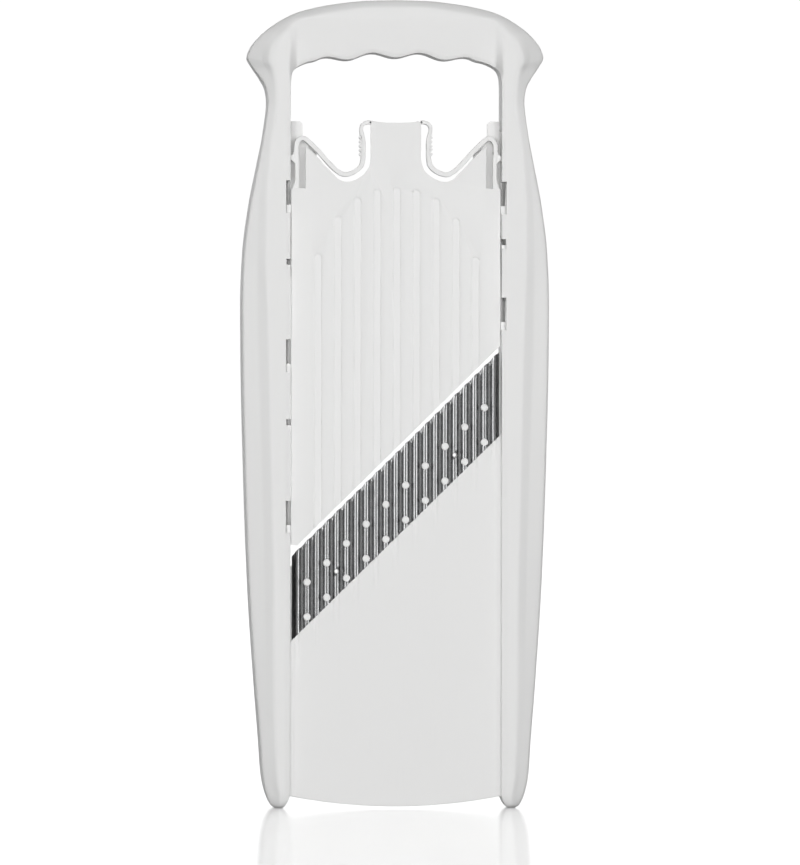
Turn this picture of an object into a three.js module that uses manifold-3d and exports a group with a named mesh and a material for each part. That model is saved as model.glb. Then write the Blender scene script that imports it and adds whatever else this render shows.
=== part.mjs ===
// Waffle-cut mandoline slicer, standing upright on its two rail tips.
// Millimetres. +Z runs up to the handle, the working face looks along -Y, X runs across the width.
// The origin is under the middle of the part, at the height of the rail tips.
import * as THREE from 'three';
import { mergeVertices } from 'three/addons/utils/BufferGeometryUtils.js';
import Module from 'manifold-3d';

const wasm = await Module();
wasm.setup();

// ---------- driving dimensions ----------
const WALL = 2.4; // frame shell
const FACE_Y = -16; // front of the two rails
const INNER_X = 47.7; // half of the food channel
const TABLE_Y = -11.5; // front of the insert plate and of the run-off table
const PLATE = 3; // insert plate and run-off table
const SPLIT_Z = 305; // the rails meet the handle here
const CLEAR = 0.4; // sliding clearance of the insert beside the rails
const FIT = 0.2; // fit between neighbours that don't move

const DIAGONAL = 0.985; // rise of the blade per millimetre across
const BLADE_TOP = 160.3; // cutting edge's height at the middle
const BLADE_BOTTOM = 121.9;
const BLADE_THICK = 0.6;
const WAVE_PITCH = 4.45;
const WAVE_HEIGHT = 1.1; // half of crest to valley
const WAVE_HALF_WIDTH = 10.5 * WAVE_PITCH;
const BLADE_MEAN_Y = -11.6; // middle of the wave, on the blade's front
const STAKES_PER_ROW = 10;
const STAKE_ROWS = { upper: 141.6, lower: 126.0 }; // heights at the middle
const PIN_ROW = 133.4;
const PIN_X = 6 * WAVE_PITCH;

const INSERT_X = INNER_X - CLEAR;
const INSERT_GAP = 2.3; // opening between insert and cutting edge, measured along Z
const TRAVEL_Z = 10.4; // stroke of the insert, up the rails
const TRAVEL_Y = 4.2; // and how far that stroke lowers it
const WINDOW = 14.5; // height of a lug window
const LUG = 14;
const WINDOWS = { left: [269.0, 197.2, 124.4], right: [268.6, 216.2] }; // lower ends
const RECESSES = { left: [243.8, 171.4], right: [252.8] };
const GROOVE_PITCH = 2 * WAVE_PITCH;
const GROOVE_WIDTH = 3.6;
const GROOVE_DEPTH = 0.45;
const GROOVE_SHIFT = 0.3; // of all the grooves, to the right
const INNER_SLOPE = 0.45; // fall of the frame's inner edge per millimetre across

const TONGUE_X = 11.4;
const SQUEEZE = 1.2; // travel of a spring latch
const BAND = 2.1;
const BAND_DEPTH = 5.6;
const DETENTS = 4;

// Stations along the right half of the frame, from the rail tip to the middle of the handle:
// inner and outer edge points [x, z], the ridge's and the crease's distance out from the inner edge,
// the depths (Y) of ridge, crease and rim, the rear depths of the outer and inner wall, the width of
// the slope at the inner edge, and the radius of the roll beside the ridge.
const STATIONS = [
  [[51.2, 0], [54.2, 0], [1.1, 2.2], [-9.5, -8.6, -7.6], [4, 4], [0.8, 1.2]],
  [[50.1, 0.9], [56, 1.2], [2.5, 4.2], [-12.2, -10.9, -9.2], [6, 6], [1.4, 1.6]],
  [[48.7, 3.2], [57.8, 4.6], [3.9, 6.4], [-14.4, -12.6, -10.6], [8.5, 8], [2, 1.8]],
  [[INNER_X, 6.8], [59.1, 8.8], [5, 7.4], [-15.5, -13.6, -11.1], [11, 9], [2.5, 2.4]],
  [[INNER_X, 14], [60.3, 15.5], [5.8, 8.2], [FACE_Y, -14.1, -10.9], [13.5, 10], [2.6, 3]],
  [[INNER_X, 30], [61.3, 30], [6.6, 9.4], [FACE_Y, -13.8, -10.7], [16, 10], [2.6, 3.6]],
  [[INNER_X, 55], [63.3, 55], [7.2, 10.4], [FACE_Y, -13.5, -9.6], [16, 10], [2.6, 4.2]],
  [[INNER_X, 100], [66.3, 100], [7.5, 11.4], [FACE_Y, -12.8, -8.1], [16, 10], [2.6, 2.8]],
  [[INNER_X, 150], [68.2, 150], [8.6, 12.6], [FACE_Y, -12.8, -8.4], [16, 10], [2.2, 2.4]],
  [[INNER_X, 200], [69.4, 200], [9.8, 14.2], [FACE_Y, -12.5, -8.9], [16, 10], [1.8, 2.2]],
  [[INNER_X, 228], [69.6, 228], [10.6, 14.8], [FACE_Y, -12.6, -9], [16, 10], [1.6, 2]],
  [[INNER_X, 250], [68.8, 250], [11.2, 14.8], [FACE_Y, -13.1, -9.3], [16, 10], [1.6, 2]],
  [[INNER_X, 272], [66.1, 272], [11.1, 14.2], [FACE_Y, -13.5, -10.8], [16, 10], [1.6, 2]],
  [[INNER_X, 290], [62.6, 290], [10, 12.4], [FACE_Y, -14.1, -12.2], [15, 10], [1.6, 2.1]],
  [[INNER_X, SPLIT_Z], [59.7, SPLIT_Z], [8.2, 10.3], [FACE_Y, -14.3, -12.9], [13, 10], [1.6, 2.4]],
  [[INNER_X, 318], [58.1, 318.6], [6.3, 8.6], [FACE_Y, -13.9, -12.3], [11, 9], [1.2, 4.6]],
  [[INNER_X, 324.4], [58.9, 325], [6.4, 9], [FACE_Y, -13.5, -11.4], [10, 8.5], [1.2, 5.4]],
  [[47.5, 328.6], [61.4, 330], [7, 10], [FACE_Y, -13, -9.2], [9, 8], [1.2, 6.4]],
  [[47.2, 331], [64.8, 335], [8.2, 11.6], [FACE_Y, -12.3, -6.2], [8.5, 8], [1.3, 7.4]],
  [[46.4, 333], [67.1, 339.4], [10.6, 14.6], [FACE_Y, -11.6, -5], [8, 8], [1.5, 9]],
  [[45, 334.6], [65.9, 343.4], [12.6, 16.8], [FACE_Y, -11.4, -5.8], [8, 8], [1.6, 9]],
  [[42.6, 336], [62, 348.4], [14.8, 18.8], [FACE_Y, -12.4, -8.4], [8, 8], [1.6, 8]],
  [[38.6, 337.4], [55.2, 353.9], [17.8, 20.8], [FACE_Y, -13.8, -11.4], [8, 8], [1.6, 5]],
  [[32.1, 338.2], [44, 359.6], [20.6, 22.7], [FACE_Y, -14.6, -12.9], [8, 8], [1.6, 3.6]],
  [[21.4, 339.4], [27.6, 363.2], [21.2, 23], [FACE_Y, -14.8, -13.3], [8, 8], [1.6, 3.2]],
  [[10.7, 340.2], [13, 364.7], [21.4, 23.2], [FACE_Y, -14.9, -13.6], [8, 8], [1.6, 3]],
  [[0, 340.4], [0, 365], [21.4, 23.2], [FACE_Y, -14.9, -13.6], [8, 8], [1.6, 3]],
];
const SPLIT = STATIONS.findIndex(([inner]) => inner[1] === SPLIT_Z);

// ---------- geometry helpers ----------

// Turns a closed three.js geometry into a manifold-3d solid.
function toSolid(geometry) {
  const bare = (geometry.index ? geometry.toNonIndexed() : geometry).clone();
  bare.deleteAttribute('normal');
  bare.deleteAttribute('uv');
  const merged = mergeVertices(bare, 1e-4);
  return new wasm.Manifold(new wasm.Mesh({
    numProp: 3,
    vertProperties: merged.attributes.position.array,
    triVerts: new Uint32Array(merged.index.array),
  }));
}

// Gives a manifold-3d solid back as a three.js geometry.
function toGeometry(solid) {
  const mesh = solid.getMesh();
  const places = new Float32Array(mesh.numVert * 3);
  for (let i = 0; i < mesh.numVert; i++) {
    places.set(mesh.vertProperties.subarray(i * mesh.numProp, i * mesh.numProp + 3), i * 3);
  }
  const geometry = new THREE.BufferGeometry();
  geometry.setAttribute('position', new THREE.BufferAttribute(places, 3));
  geometry.setIndex(new THREE.BufferAttribute(new Uint32Array(mesh.triVerts), 1));
  return geometry;
}

function extrude(points, depth) {
  const shape = new THREE.Shape(points.map(([a, b]) => new THREE.Vector2(a, b)));
  return new THREE.ExtrudeGeometry(shape, { depth, bevelEnabled: false });
}

// An [x, z] outline, from depth y0 back to y1.
function prismXZ(points, y0, y1) {
  return extrude(points, y1 - y0).rotateX(Math.PI / 2).translate(0, y1, 0);
}

// An [x, y] outline, from height z0 up to z1.
function prismXY(points, z0, z1) {
  return extrude(points, z1 - z0).translate(0, 0, z0);
}

// A [y, z] outline, from x0 to x1.
function prismYZ(points, x0, x1) {
  const turn = new THREE.Matrix4().makeBasis(
    new THREE.Vector3(0, 1, 0), new THREE.Vector3(0, 0, 1), new THREE.Vector3(1, 0, 0));
  return extrude(points, x1 - x0).applyMatrix4(turn).translate(x0, 0, 0);
}

function box(x0, x1, y0, y1, z0, z1) {
  return new THREE.BoxGeometry(x1 - x0, y1 - y0, z1 - z0)
    .translate((x0 + x1) / 2, (y0 + y1) / 2, (z0 + z1) / 2);
}

// A round bar along Y.
function barY(x, z, radius, y0, y1, sides) {
  return new THREE.CylinderGeometry(radius, radius, y1 - y0, sides).translate(x, (y0 + y1) / 2, z);
}

// The same piece on the other side of the frame.
function mirrored(geometry) {
  const flat = geometry.index ? geometry.toNonIndexed() : geometry.clone();
  const p = flat.attributes.position;
  for (let i = 0; i < p.count; i += 3) {
    const corners = [0, 1, 2].map((k) => [-p.getX(i + k), p.getY(i + k), p.getZ(i + k)]);
    [0, 2, 1].forEach((from, k) => p.setXYZ(i + k, ...corners[from]));
  }
  return flat;
}

// A corner of a path rounded to a radius: points from one straight to the next.
function roundCorner(before, corner, after, radius, steps) {
  const a = new THREE.Vector2(...before).sub(corner);
  const b = new THREE.Vector2(...after).sub(corner);
  const turn = Math.PI - Math.acos(THREE.MathUtils.clamp(a.dot(b) / a.length() / b.length(), -1, 1));
  const reach = THREE.MathUtils.clamp(
    radius * Math.tan(turn / 2), 0.15, 0.42 * Math.min(a.length(), b.length()));
  const start = a.setLength(reach).add(corner);
  const end = b.setLength(reach).add(corner);
  const curve = new THREE.QuadraticBezierCurve(start, corner, end);
  return curve.getPoints(steps).map((p) => [p.x, p.y]);
}

// A path whose inner corners are rounded; corners are [a, b, radius].
function roundPath(corners, steps) {
  const path = [corners[0].slice(0, 2)];
  for (let i = 1; i < corners.length - 1; i++) {
    const at = new THREE.Vector2(corners[i][0], corners[i][1]);
    path.push(...roundCorner(
      corners[i - 1].slice(0, 2), at, corners[i + 1].slice(0, 2), corners[i][2], steps));
  }
  path.push(corners.at(-1).slice(0, 2));
  return path;
}

// The path moved sideways by a wall's thickness, with matching corners.
function insidePath(corners, thickness) {
  const moved = [];
  for (let i = 0; i < corners.length - 1; i++) {
    const [ax, ay] = corners[i];
    const [bx, by] = corners[i + 1];
    const length = Math.hypot(bx - ax, by - ay);
    const nx = (-(by - ay) / length) * thickness;
    const ny = ((bx - ax) / length) * thickness;
    moved.push({ a: [ax + nx, ay + ny], b: [bx + nx, by + ny] });
  }
  const result = [moved[0].a];
  for (let i = 1; i < moved.length; i++) {
    const p = moved[i - 1];
    const q = moved[i];
    const d1 = [p.b[0] - p.a[0], p.b[1] - p.a[1]];
    const d2 = [q.b[0] - q.a[0], q.b[1] - q.a[1]];
    const cross = d1[0] * d2[1] - d1[1] * d2[0];
    const along = Math.abs(cross) < 1e-6 ? 1
      : ((q.a[0] - p.a[0]) * d2[1] - (q.a[1] - p.a[1]) * d2[0]) / cross;
    const radius = cross > 0 ? Math.max(corners[i][2] - thickness, 0.2) : corners[i][2] + thickness;
    result.push([p.a[0] + along * d1[0], p.a[1] + along * d1[1], radius]);
  }
  result.push(moved.at(-1).b);
  return result;
}

// ---------- the frame's shell ----------

// A smooth value between stations that never overshoots them.
function smoothBetween(values, at) {
  const i = Math.min(Math.floor(at), values.length - 2);
  const t = at - i;
  const slope = (k) => {
    if (k <= 0 || k >= values.length - 1) return 0;
    const before = values[k] - values[k - 1];
    const after = values[k + 1] - values[k];
    return before * after <= 0 ? 0 : (2 * before * after) / (before + after);
  };
  const endSlope = (k) => {
    if (k === 0) return values[1] - values[0];
    return k === values.length - 1 ? 0 : slope(k);
  };
  const t2 = t * t;
  const t3 = t2 * t;
  return values[i] * (2 * t3 - 3 * t2 + 1) + endSlope(i) * (t3 - 2 * t2 + t)
    + values[i + 1] * (3 * t2 - 2 * t3) + endSlope(i + 1) * (t3 - t2);
}

function stationAt(at) {
  const [inner, outer, across, depth, back, edges] = STATIONS[0].map((values, field) => (
    values.map((_, k) => smoothBetween(STATIONS.map((s) => s[field][k]), at))));
  return { inner, outer, ridge: across[0], crease: across[1],
    face: depth[0], low: depth[1], edge: depth[2], back, slope: edges[0], roll: edges[1] };
}

const smoothstep = (x) => THREE.MathUtils.smoothstep(x, 0, 1);

// The grip's four finger hollows, as a rise of the handle's lower edge.
const FINGER_PITCH = 21.4;
function fingerWave(x) {
  const fade = 1 - smoothstep((Math.abs(x) - 33) / 6);
  return -1.15 * Math.cos((2 * Math.PI * x) / FINGER_PITCH) * fade;
}

// How far the grip's face lies behind the uprights' faces.
function gripRecess(x, z) {
  const beside = smoothstep((INNER_X + 1.4 - Math.abs(x)) / 4.8);
  const below = THREE.MathUtils.clamp((357 - z) / 21, 0, 1);
  return 5.5 * beside * below;
}

// One closed ring of the shell: the front from inner to outer edge, then the inside back again.
function ringAt(at, steps) {
  const s = stationAt(at);
  const length = Math.hypot(s.outer[0] - s.inner[0], s.outer[1] - s.inner[1]);
  const along = [(s.outer[0] - s.inner[0]) / length, (s.outer[1] - s.inner[1]) / length];
  const corners = [
    [0, s.back[1]], [0, s.face + INNER_SLOPE * s.slope, 0.5],
    [s.slope, s.face, 5], [s.ridge, s.face, s.roll],
    [s.crease, s.low, 10], [length, s.edge, 3], [length, s.back[0]]];
  const front = roundPath(corners, steps);
  const inside = roundPath(insidePath(corners, WALL), steps);
  const hollow = smoothstep((at - 1) / 2); // the tip's end is solid
  const filled = inside.map(([d, y], i) => {
    const share = i / (inside.length - 1);
    const back = THREE.MathUtils.lerp(s.back[1], s.back[0], share);
    const across = length * (0.25 + 0.5 * share);
    return [THREE.MathUtils.lerp(across, d, hollow), THREE.MathUtils.lerp(back, y, hollow)];
  });
  return [...front, ...filled.reverse()].map(([d, y]) => {
    const x = s.inner[0] + along[0] * d;
    const z = s.inner[1] + along[1] * d + fingerWave(s.inner[0]) * handleShare(at) * (1 - d / length);
    const frontShare = THREE.MathUtils.clamp((2 - y) / (2 - FACE_Y), 0, 1);
    return [x, y + gripRecess(x, z) * handleShare(at) * frontShare, z];
  });
}

const handleShare = (at) => smoothstep((at - SPLIT - 2) / 3);

// Joins rings of equal count into one closed solid. Each ring runs out along the front and back
// along the inside, so its end is closed by a strip between the two.
function loft(rings) {
  const count = rings[0].length;
  const faces = [];
  for (let r = 0; r < rings.length - 1; r++) {
    for (let i = 0; i < count; i++) {
      const j = (i + 1) % count;
      faces.push([rings[r][i], rings[r + 1][i], rings[r][j]]);
      faces.push([rings[r][j], rings[r + 1][i], rings[r + 1][j]]);
    }
  }
  const last = rings.at(-1);
  for (let i = 0; i < count / 2 - 1; i++) {
    const [a, b, c, d] = [i, i + 1, count - 2 - i, count - 1 - i];
    faces.push([rings[0][a], rings[0][b], rings[0][c]], [rings[0][a], rings[0][c], rings[0][d]]);
    faces.push([last[a], last[c], last[b]], [last[a], last[d], last[c]]);
  }
  const geometry = new THREE.BufferGeometry();
  geometry.setAttribute('position', new THREE.Float32BufferAttribute(faces.flat(2), 3));
  return toSolid(geometry).volume() < 0 ? reversed(geometry) : geometry;
}

function reversed(geometry) {
  const p = geometry.attributes.position;
  for (let i = 0; i < p.count; i += 3) {
    const b = [p.getX(i + 1), p.getY(i + 1), p.getZ(i + 1)];
    p.setXYZ(i + 1, p.getX(i + 2), p.getY(i + 2), p.getZ(i + 2));
    p.setXYZ(i + 2, ...b);
  }
  return geometry;
}

const RAIL_STEPS = [0, 1, 2, 3, 4, 5, 6, 7, 8, 9, 9.5, 10, 10.5, 11, 11.5, 12, 12.5, 13, 13.5, SPLIT];

function railShell() {
  return loft(RAIL_STEPS.map((at) => ringAt(at, 2)));
}

// The lug windows, the ramps behind them, the blind recesses and the detent rack of one rail.
function railCuts(side) {
  const out = INNER_X + WALL + 0.4;
  const cuts = [];
  for (const low of WINDOWS[side]) {
    cuts.push(box(INNER_X - 1, INNER_X + 2.1, FACE_Y - 2, -3.4, low - 0.2, low + WINDOW));
    const rest = low - TRAVEL_Z - 0.3;
    const top = rest + LUG + 0.6;
    const front = TABLE_Y - 0.1;
    cuts.push(prismYZ([
      [front, rest], [front, top], [front + TRAVEL_Y, top + TRAVEL_Z],
      [front + TRAVEL_Y + 3.4, top + TRAVEL_Z], [front + TRAVEL_Y + 3.4, rest + TRAVEL_Z],
      [front + 3.4, rest]], INNER_X - 1, out));
  }
  for (const low of RECESSES[side]) {
    cuts.push(box(INNER_X - 1, INNER_X + 1.9, FACE_Y - 2, TABLE_Y - 1.2, low, low + 4.4));
    cuts.push(box(INNER_X - 1, INNER_X + 1.9, FACE_Y - 2, -6, low + 1.7, low + 4.4));
  }
  const pitch = TRAVEL_Z / (DETENTS - 1);
  const rack = [[INNER_X - 1, 289], [INNER_X + 0.7, 289]];
  for (let i = 0; i < DETENTS; i++) {
    const z = 293.2 + i * pitch;
    rack.push([INNER_X + 0.7, z - 1.5], [INNER_X + 1.4, z], [INNER_X + 0.7, z + 1.5]);
  }
  rack.push([INNER_X + 0.7, SPLIT_Z + 1.4], [INNER_X - 1, SPLIT_Z + 1.4]);
  cuts.push(prismXZ(rack, TABLE_Y - 0.6, 0));
  return cuts;
}

function rail(side) {
  let solid = toSolid(railShell());
  for (const cut of railCuts(side)) solid = solid.subtract(toSolid(cut));
  const right = toGeometry(solid);
  return side === 'right' ? right : mirrored(right);
}

function handle() {
  const end = STATIONS.length - 1;
  const half = [];
  for (let at = SPLIT; at < end - 0.01;) {
    half.push(at === SPLIT ? SPLIT + 0.02 : at);
    at += at < SPLIT + 3 ? 1 : at < end - 3 ? 0.5 : 1 / 3;
  }
  const right = half.map((at) => ringAt(at, 2));
  const left = right.map((ring) => ring.map(([x, y, z]) => [-x, y, z])).reverse();
  const middle = ringAt(end, 2);
  const shell = toSolid(loft([...right, middle, ...left]));
  const rack = box(INNER_X - 1, INNER_X + 0.7, TABLE_Y - 0.6, 0, SPLIT_Z - 2, SPLIT_Z + 1.4);
  return toGeometry(shell.subtract(toSolid(rack)).subtract(toSolid(mirrored(rack))));
}

// ---------- run-off table, blade bed, blade ----------

const diagonalZ = (x, middle) => middle + DIAGONAL * x;

// The outline of a diagonal band between two heights, measured at the middle.
function diagonalBand(halfWidth, low, high) {
  return [[-halfWidth, diagonalZ(-halfWidth, low)], [halfWidth, diagonalZ(halfWidth, low)],
    [halfWidth, diagonalZ(halfWidth, high)], [-halfWidth, diagonalZ(-halfWidth, high)]];
}

function runOffTable() {
  const [width, height] = [2.8, 1.25]; // of the rise beside each rail
  const half = INNER_X - FIT;
  const rise = [0, 0.25, 0.5, 0.75, 1].map((t) => [half - width + width * t, TABLE_Y - height * t ** 2]);
  const section = [
    [-half, TABLE_Y + PLATE], ...rise.map(([x, y]) => [-x, y]).reverse(), ...rise, [half, TABLE_Y + PLATE]];
  const lip = new THREE.QuadraticBezierCurve(
    new THREE.Vector2(-INNER_X, 5.2), new THREE.Vector2(0, -3.4), new THREE.Vector2(INNER_X, 5.2));
  const outline = [...lip.getPoints(16).map((p) => [p.x, p.y]),
    [INNER_X, diagonalZ(INNER_X, BLADE_BOTTOM)], [-INNER_X, diagonalZ(-INNER_X, BLADE_BOTTOM)]];
  const plate = toSolid(prismXY(section, -10, 200));
  return toGeometry(plate.intersect(toSolid(prismXZ(outline, -30, 30))));
}

const waveY = (x) => (Math.abs(x) > WAVE_HALF_WIDTH ? WAVE_HEIGHT
  : -WAVE_HEIGHT * Math.cos((2 * Math.PI * x) / WAVE_PITCH));

// The wave across the blade, as points [x, y] moved back by some depth.
function waveLine(halfWidth, depth) {
  const perWave = 6;
  const steps = Math.round((2 * WAVE_HALF_WIDTH * perWave) / WAVE_PITCH);
  const line = [[-halfWidth, BLADE_MEAN_Y + WAVE_HEIGHT + depth]];
  for (let i = 0; i <= steps; i++) {
    const x = -WAVE_HALF_WIDTH + (i * 2 * WAVE_HALF_WIDTH) / steps;
    line.push([x, BLADE_MEAN_Y + waveY(x) + depth]);
  }
  line.push([halfWidth, BLADE_MEAN_Y + WAVE_HEIGHT + depth]);
  return line;
}

function pinHoles(radius) {
  return [-PIN_X, PIN_X].map((x) => barY(x, diagonalZ(x, PIN_ROW), radius, -20, 0, 8));
}

const stakeX = (i) => (i - (STAKES_PER_ROW - 1) / 2) * 2 * WAVE_PITCH;

function cuttingBlade() {
  const halfWidth = INNER_X - 0.4;
  const section = [...waveLine(halfWidth, 0), ...waveLine(halfWidth, BLADE_THICK).reverse()];
  let sheet = toSolid(prismXY(section, 60, 220))
    .intersect(toSolid(prismXZ(diagonalBand(60, BLADE_BOTTOM, BLADE_TOP), -30, 30)));
  for (const height of Object.values(STAKE_ROWS)) {
    for (let i = 0; i < STAKES_PER_ROW; i++) {
      sheet = sheet.subtract(toSolid(barY(stakeX(i), diagonalZ(stakeX(i), height), 1.15, -20, 0, 8)));
    }
  }
  for (const hole of pinHoles(1.2)) sheet = sheet.subtract(toSolid(hole));
  return toGeometry(sheet);
}

const BED_BACK_Y = -6.4;
function bladeBed() {
  const halfWidth = INNER_X - FIT;
  const gap = BLADE_THICK + FIT;
  const section = [...waveLine(halfWidth, gap), [halfWidth, BED_BACK_Y], [-halfWidth, BED_BACK_Y]];
  let bed = toSolid(prismXY(section, 60, 220))
    .intersect(toSolid(prismXZ(diagonalBand(60, BLADE_BOTTOM + FIT, BLADE_TOP - 4.5), -30, 30)));
  for (const hole of pinHoles(0.9)) bed = bed.subtract(toSolid(hole));
  return toGeometry(bed);
}

// A heat-staked head: a short shank through the blade and a low dome on it.
function stakeHead(x, z) {
  const foot = BLADE_MEAN_Y - WAVE_HEIGHT + BLADE_THICK + 0.1;
  const seat = BLADE_MEAN_Y - WAVE_HEIGHT - 0.1;
  const profile = [[0, 0], [0.95, 0], [0.95, foot - seat], [1.65, foot - seat],
    [1.5, foot - seat + 0.4], [0.9, foot - seat + 0.65], [0, foot - seat + 0.75]];
  return new THREE.LatheGeometry(profile.map(([r, h]) => new THREE.Vector2(r, h)), 10)
    .rotateX(Math.PI).translate(x, foot, z);
}

// ---------- supports inside the frame ----------

// The gusset behind the insert's upper corner, which carries the insert.
const GUSSET_Y = [-1.3, 1.1];
function gusset() {
  const side = INNER_X - FIT;
  const outline = [[side, 240], [side, 310.7], [43, 310.7], [41.8, 309.5], [41.8, 303],
    [35.5, 296.4], [35.5, 252]];
  return prismXZ(outline, ...GUSSET_Y);
}

// A stiffening rib across the hollow of a rail.
function railRib(z) {
  const at = RIB_STATIONS.find((s) => s.z === z).at;
  const s = stationAt(at);
  const gap = 0.3;
  const inner = s.inner[0] + WALL + gap;
  const outer = s.outer[0] - WALL - gap;
  const outline = [[inner, s.face + WALL + 1.4], [s.inner[0] + s.ridge - WALL - gap, s.face + WALL + 1.4],
    [s.inner[0] + s.crease - WALL, s.low + WALL + 1], [outer, s.edge + WALL + 1],
    [outer, s.back[0] - 4], [inner, s.back[1] - 1]];
  return prismXY(outline, z - 0.8, z + 0.8);
}
const RIB_STATIONS = [{ z: 55, at: 6 }, { z: 150, at: 8 }, { z: 250, at: 11 }];

// A rib across the back of the run-off table.
function crossRib(z, backY) {
  return box(-INNER_X + FIT, INNER_X - FIT, TABLE_Y + PLATE + FIT, backY, z - 1.1, z + 1.1);
}

function bedRib() {
  const middle = (BLADE_TOP + BLADE_BOTTOM) / 2;
  return prismXZ(diagonalBand(INNER_X - FIT, middle - 2, middle + 1), BED_BACK_Y + FIT, 6);
}

// ---------- insert ----------

// The insert's grooves end on an arch.
const grooveTop = (x) => 281 - 0.0122 * x ** 2 - 9.5e-6 * x ** 4;

function groove(x, foot) {
  const [x0, x1] = [x - GROOVE_WIDTH / 2, x + GROOVE_WIDTH / 2];
  const top = grooveTop(x) - GROOVE_WIDTH / 2;
  const end = new THREE.EllipseCurve(x, top, GROOVE_WIDTH / 2, GROOVE_WIDTH / 2, 0, Math.PI).getPoints(6);
  const feet = [[x0, diagonalZ(x0, foot) - 1], [x1, diagonalZ(x1, foot) - 1]];
  return prismXZ([...feet, ...end.map((p) => [p.x, p.y])], TABLE_Y - 1, TABLE_Y + GROOVE_DEPTH);
}

function insertPlate() {
  const foot = BLADE_TOP + INSERT_GAP;
  const outline = [
    [-INSERT_X, 119], [-44.6, 119], [-44.6, diagonalZ(-44.6, foot)],
    [INSERT_X, diagonalZ(INSERT_X, foot)],
    [INSERT_X, 280], [40.8, 280], [40.8, 299.2], [36.7, 295.5], [31.4, 289.6], [28.3, 286.5],
    [26, 284.3], [23.4, 283.2], [20.4, 283.2], [17.2, 284.6], [14.4, 286.6], [12.4, 289.2],
    [TONGUE_X, 293],
    [TONGUE_X, 308.6], [TONGUE_X + 0.5, 308.9], [TONGUE_X + 0.5, 310.6], [8, 310],
    [-8, 310], [-TONGUE_X - 0.5, 310.6], [-TONGUE_X - 0.5, 308.9], [-TONGUE_X, 308.6],
    [-TONGUE_X, 293], [-12.4, 289.2], [-14.4, 286.6], [-17.2, 284.6], [-20.4, 283.2],
    [-23.4, 283.2], [-26, 284.3], [-28.3, 286.5], [-31.4, 289.6], [-36.7, 295.5],
    [-40.8, 299.2], [-40.8, 280], [-INSERT_X, 280]];
  let plate = toSolid(prismXZ(outline, TABLE_Y, TABLE_Y + PLATE));
  for (let i = -4; i <= 4; i++) {
    const x = i * GROOVE_PITCH + GROOVE_SHIFT;
    plate = plate.subtract(toSolid(groove(x, foot)));
  }
  return toGeometry(plate);
}

// A guide lug on the insert's edge: its upper end shows in the window, the rest hides under the rail.
function lug(low) {
  const z = low - TRAVEL_Z;
  return box(INSERT_X + FIT, INNER_X + 1.7, TABLE_Y + 0.1, TABLE_Y + 2.9, z, z + LUG);
}

const BACK_RIB_DEPTH = 3.4;
function insertBackRib(x, low) {
  const front = TABLE_Y + PLATE + FIT;
  return box(x - 1, x + 1, front, front + BACK_RIB_DEPTH, low, 276);
}

// ---------- spring latches, drawn for the right-hand side ----------

const ARM_TOP = 297.5;
const ARM = [43.7, 45.6];

function latchArm() {
  const tip = INNER_X + 0.4;
  const outline = [[ARM[0], 280.3], [46.8, 280.3], [ARM[1], 283.6], [ARM[1], 291.2], [46.6, 292.3],
    [tip, 293], [tip, 294.4], [46.6, 295.4], [46.6, ARM_TOP], [ARM[0], ARM_TOP]];
  return prismXZ(outline, TABLE_Y, TABLE_Y + PLATE);
}

// The thin springy band from the arm's top, down the valley, up the finger grip and over the hook.
function springBand() {
  const centre = new THREE.SplineCurve([
    [45.1, ARM_TOP + FIT], [44.6, 300.8], [42.9, 302.6], [40.4, 302.1], [35.2, 297], [30, 291.1],
    [26.5, 287.9], [23.5, 286.4], [20.6, 286.8], [17.6, 288.3], [15.6, 290.4], [15, 293.1],
    [14.8, 297], [14.8, 300.8], [15.3, 304.2], [15.7, 306.4], [15.3, 308.4], [14.4, 309.5], [13.4, 309.9],
  ].map(([x, z]) => new THREE.Vector2(x, z)));
  const steps = 40;
  const side = (sign) => {
    const line = [];
    for (let i = 0; i <= steps; i++) {
      const p = centre.getPoint(i / steps);
      const t = i === 0 ? new THREE.Vector2(0, 1) : centre.getTangent(i / steps);
      const half = (i / steps > 0.8 ? 1.6 : BAND + (i === 0 ? 0.9 : 0)) / 2;
      line.push([p.x - sign * t.y * half, p.y + sign * t.x * half]);
    }
    return line;
  };
  return prismXZ([...side(1), ...side(-1).reverse()], TABLE_Y, TABLE_Y + BAND_DEPTH);
}

// The serrated pad that the finger presses.
function fingerGrip() {
  const x = 15 + BAND / 2 + 0.15;
  const teeth = 4;
  const pitch = 2;
  const outline = [[x, 294.4]];
  for (let i = 0; i < teeth; i++) {
    const z = 294.6 + i * pitch;
    outline.push([x + 0.25, z - 0.3], [x + 0.75, z + 0.3], [x + 0.75, z + 1], [x + 0.25, z + 1.5]);
  }
  outline.push([x, 294.6 + teeth * pitch]);
  return prismXZ(outline, TABLE_Y, TABLE_Y + BAND_DEPTH);
}

// ---------- the assembly ----------

const whitePlastic = new THREE.MeshStandardMaterial({ color: 0xe9e9e8, roughness: 0.38, metalness: 0 });
const insertPlastic = new THREE.MeshStandardMaterial({ color: 0xececeb, roughness: 0.42, metalness: 0 });
const bladeSteel = new THREE.MeshStandardMaterial({ color: 0xb9bbbd, roughness: 0.22, metalness: 1 });

function piece(name, geometry, material) {
  const mesh = new THREE.Mesh(geometry, material);
  mesh.name = name;
  return mesh;
}

const pair = (name, geometry, material) => [
  piece('left_' + name, mirrored(geometry), material), piece('right_' + name, geometry, material)];

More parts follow.
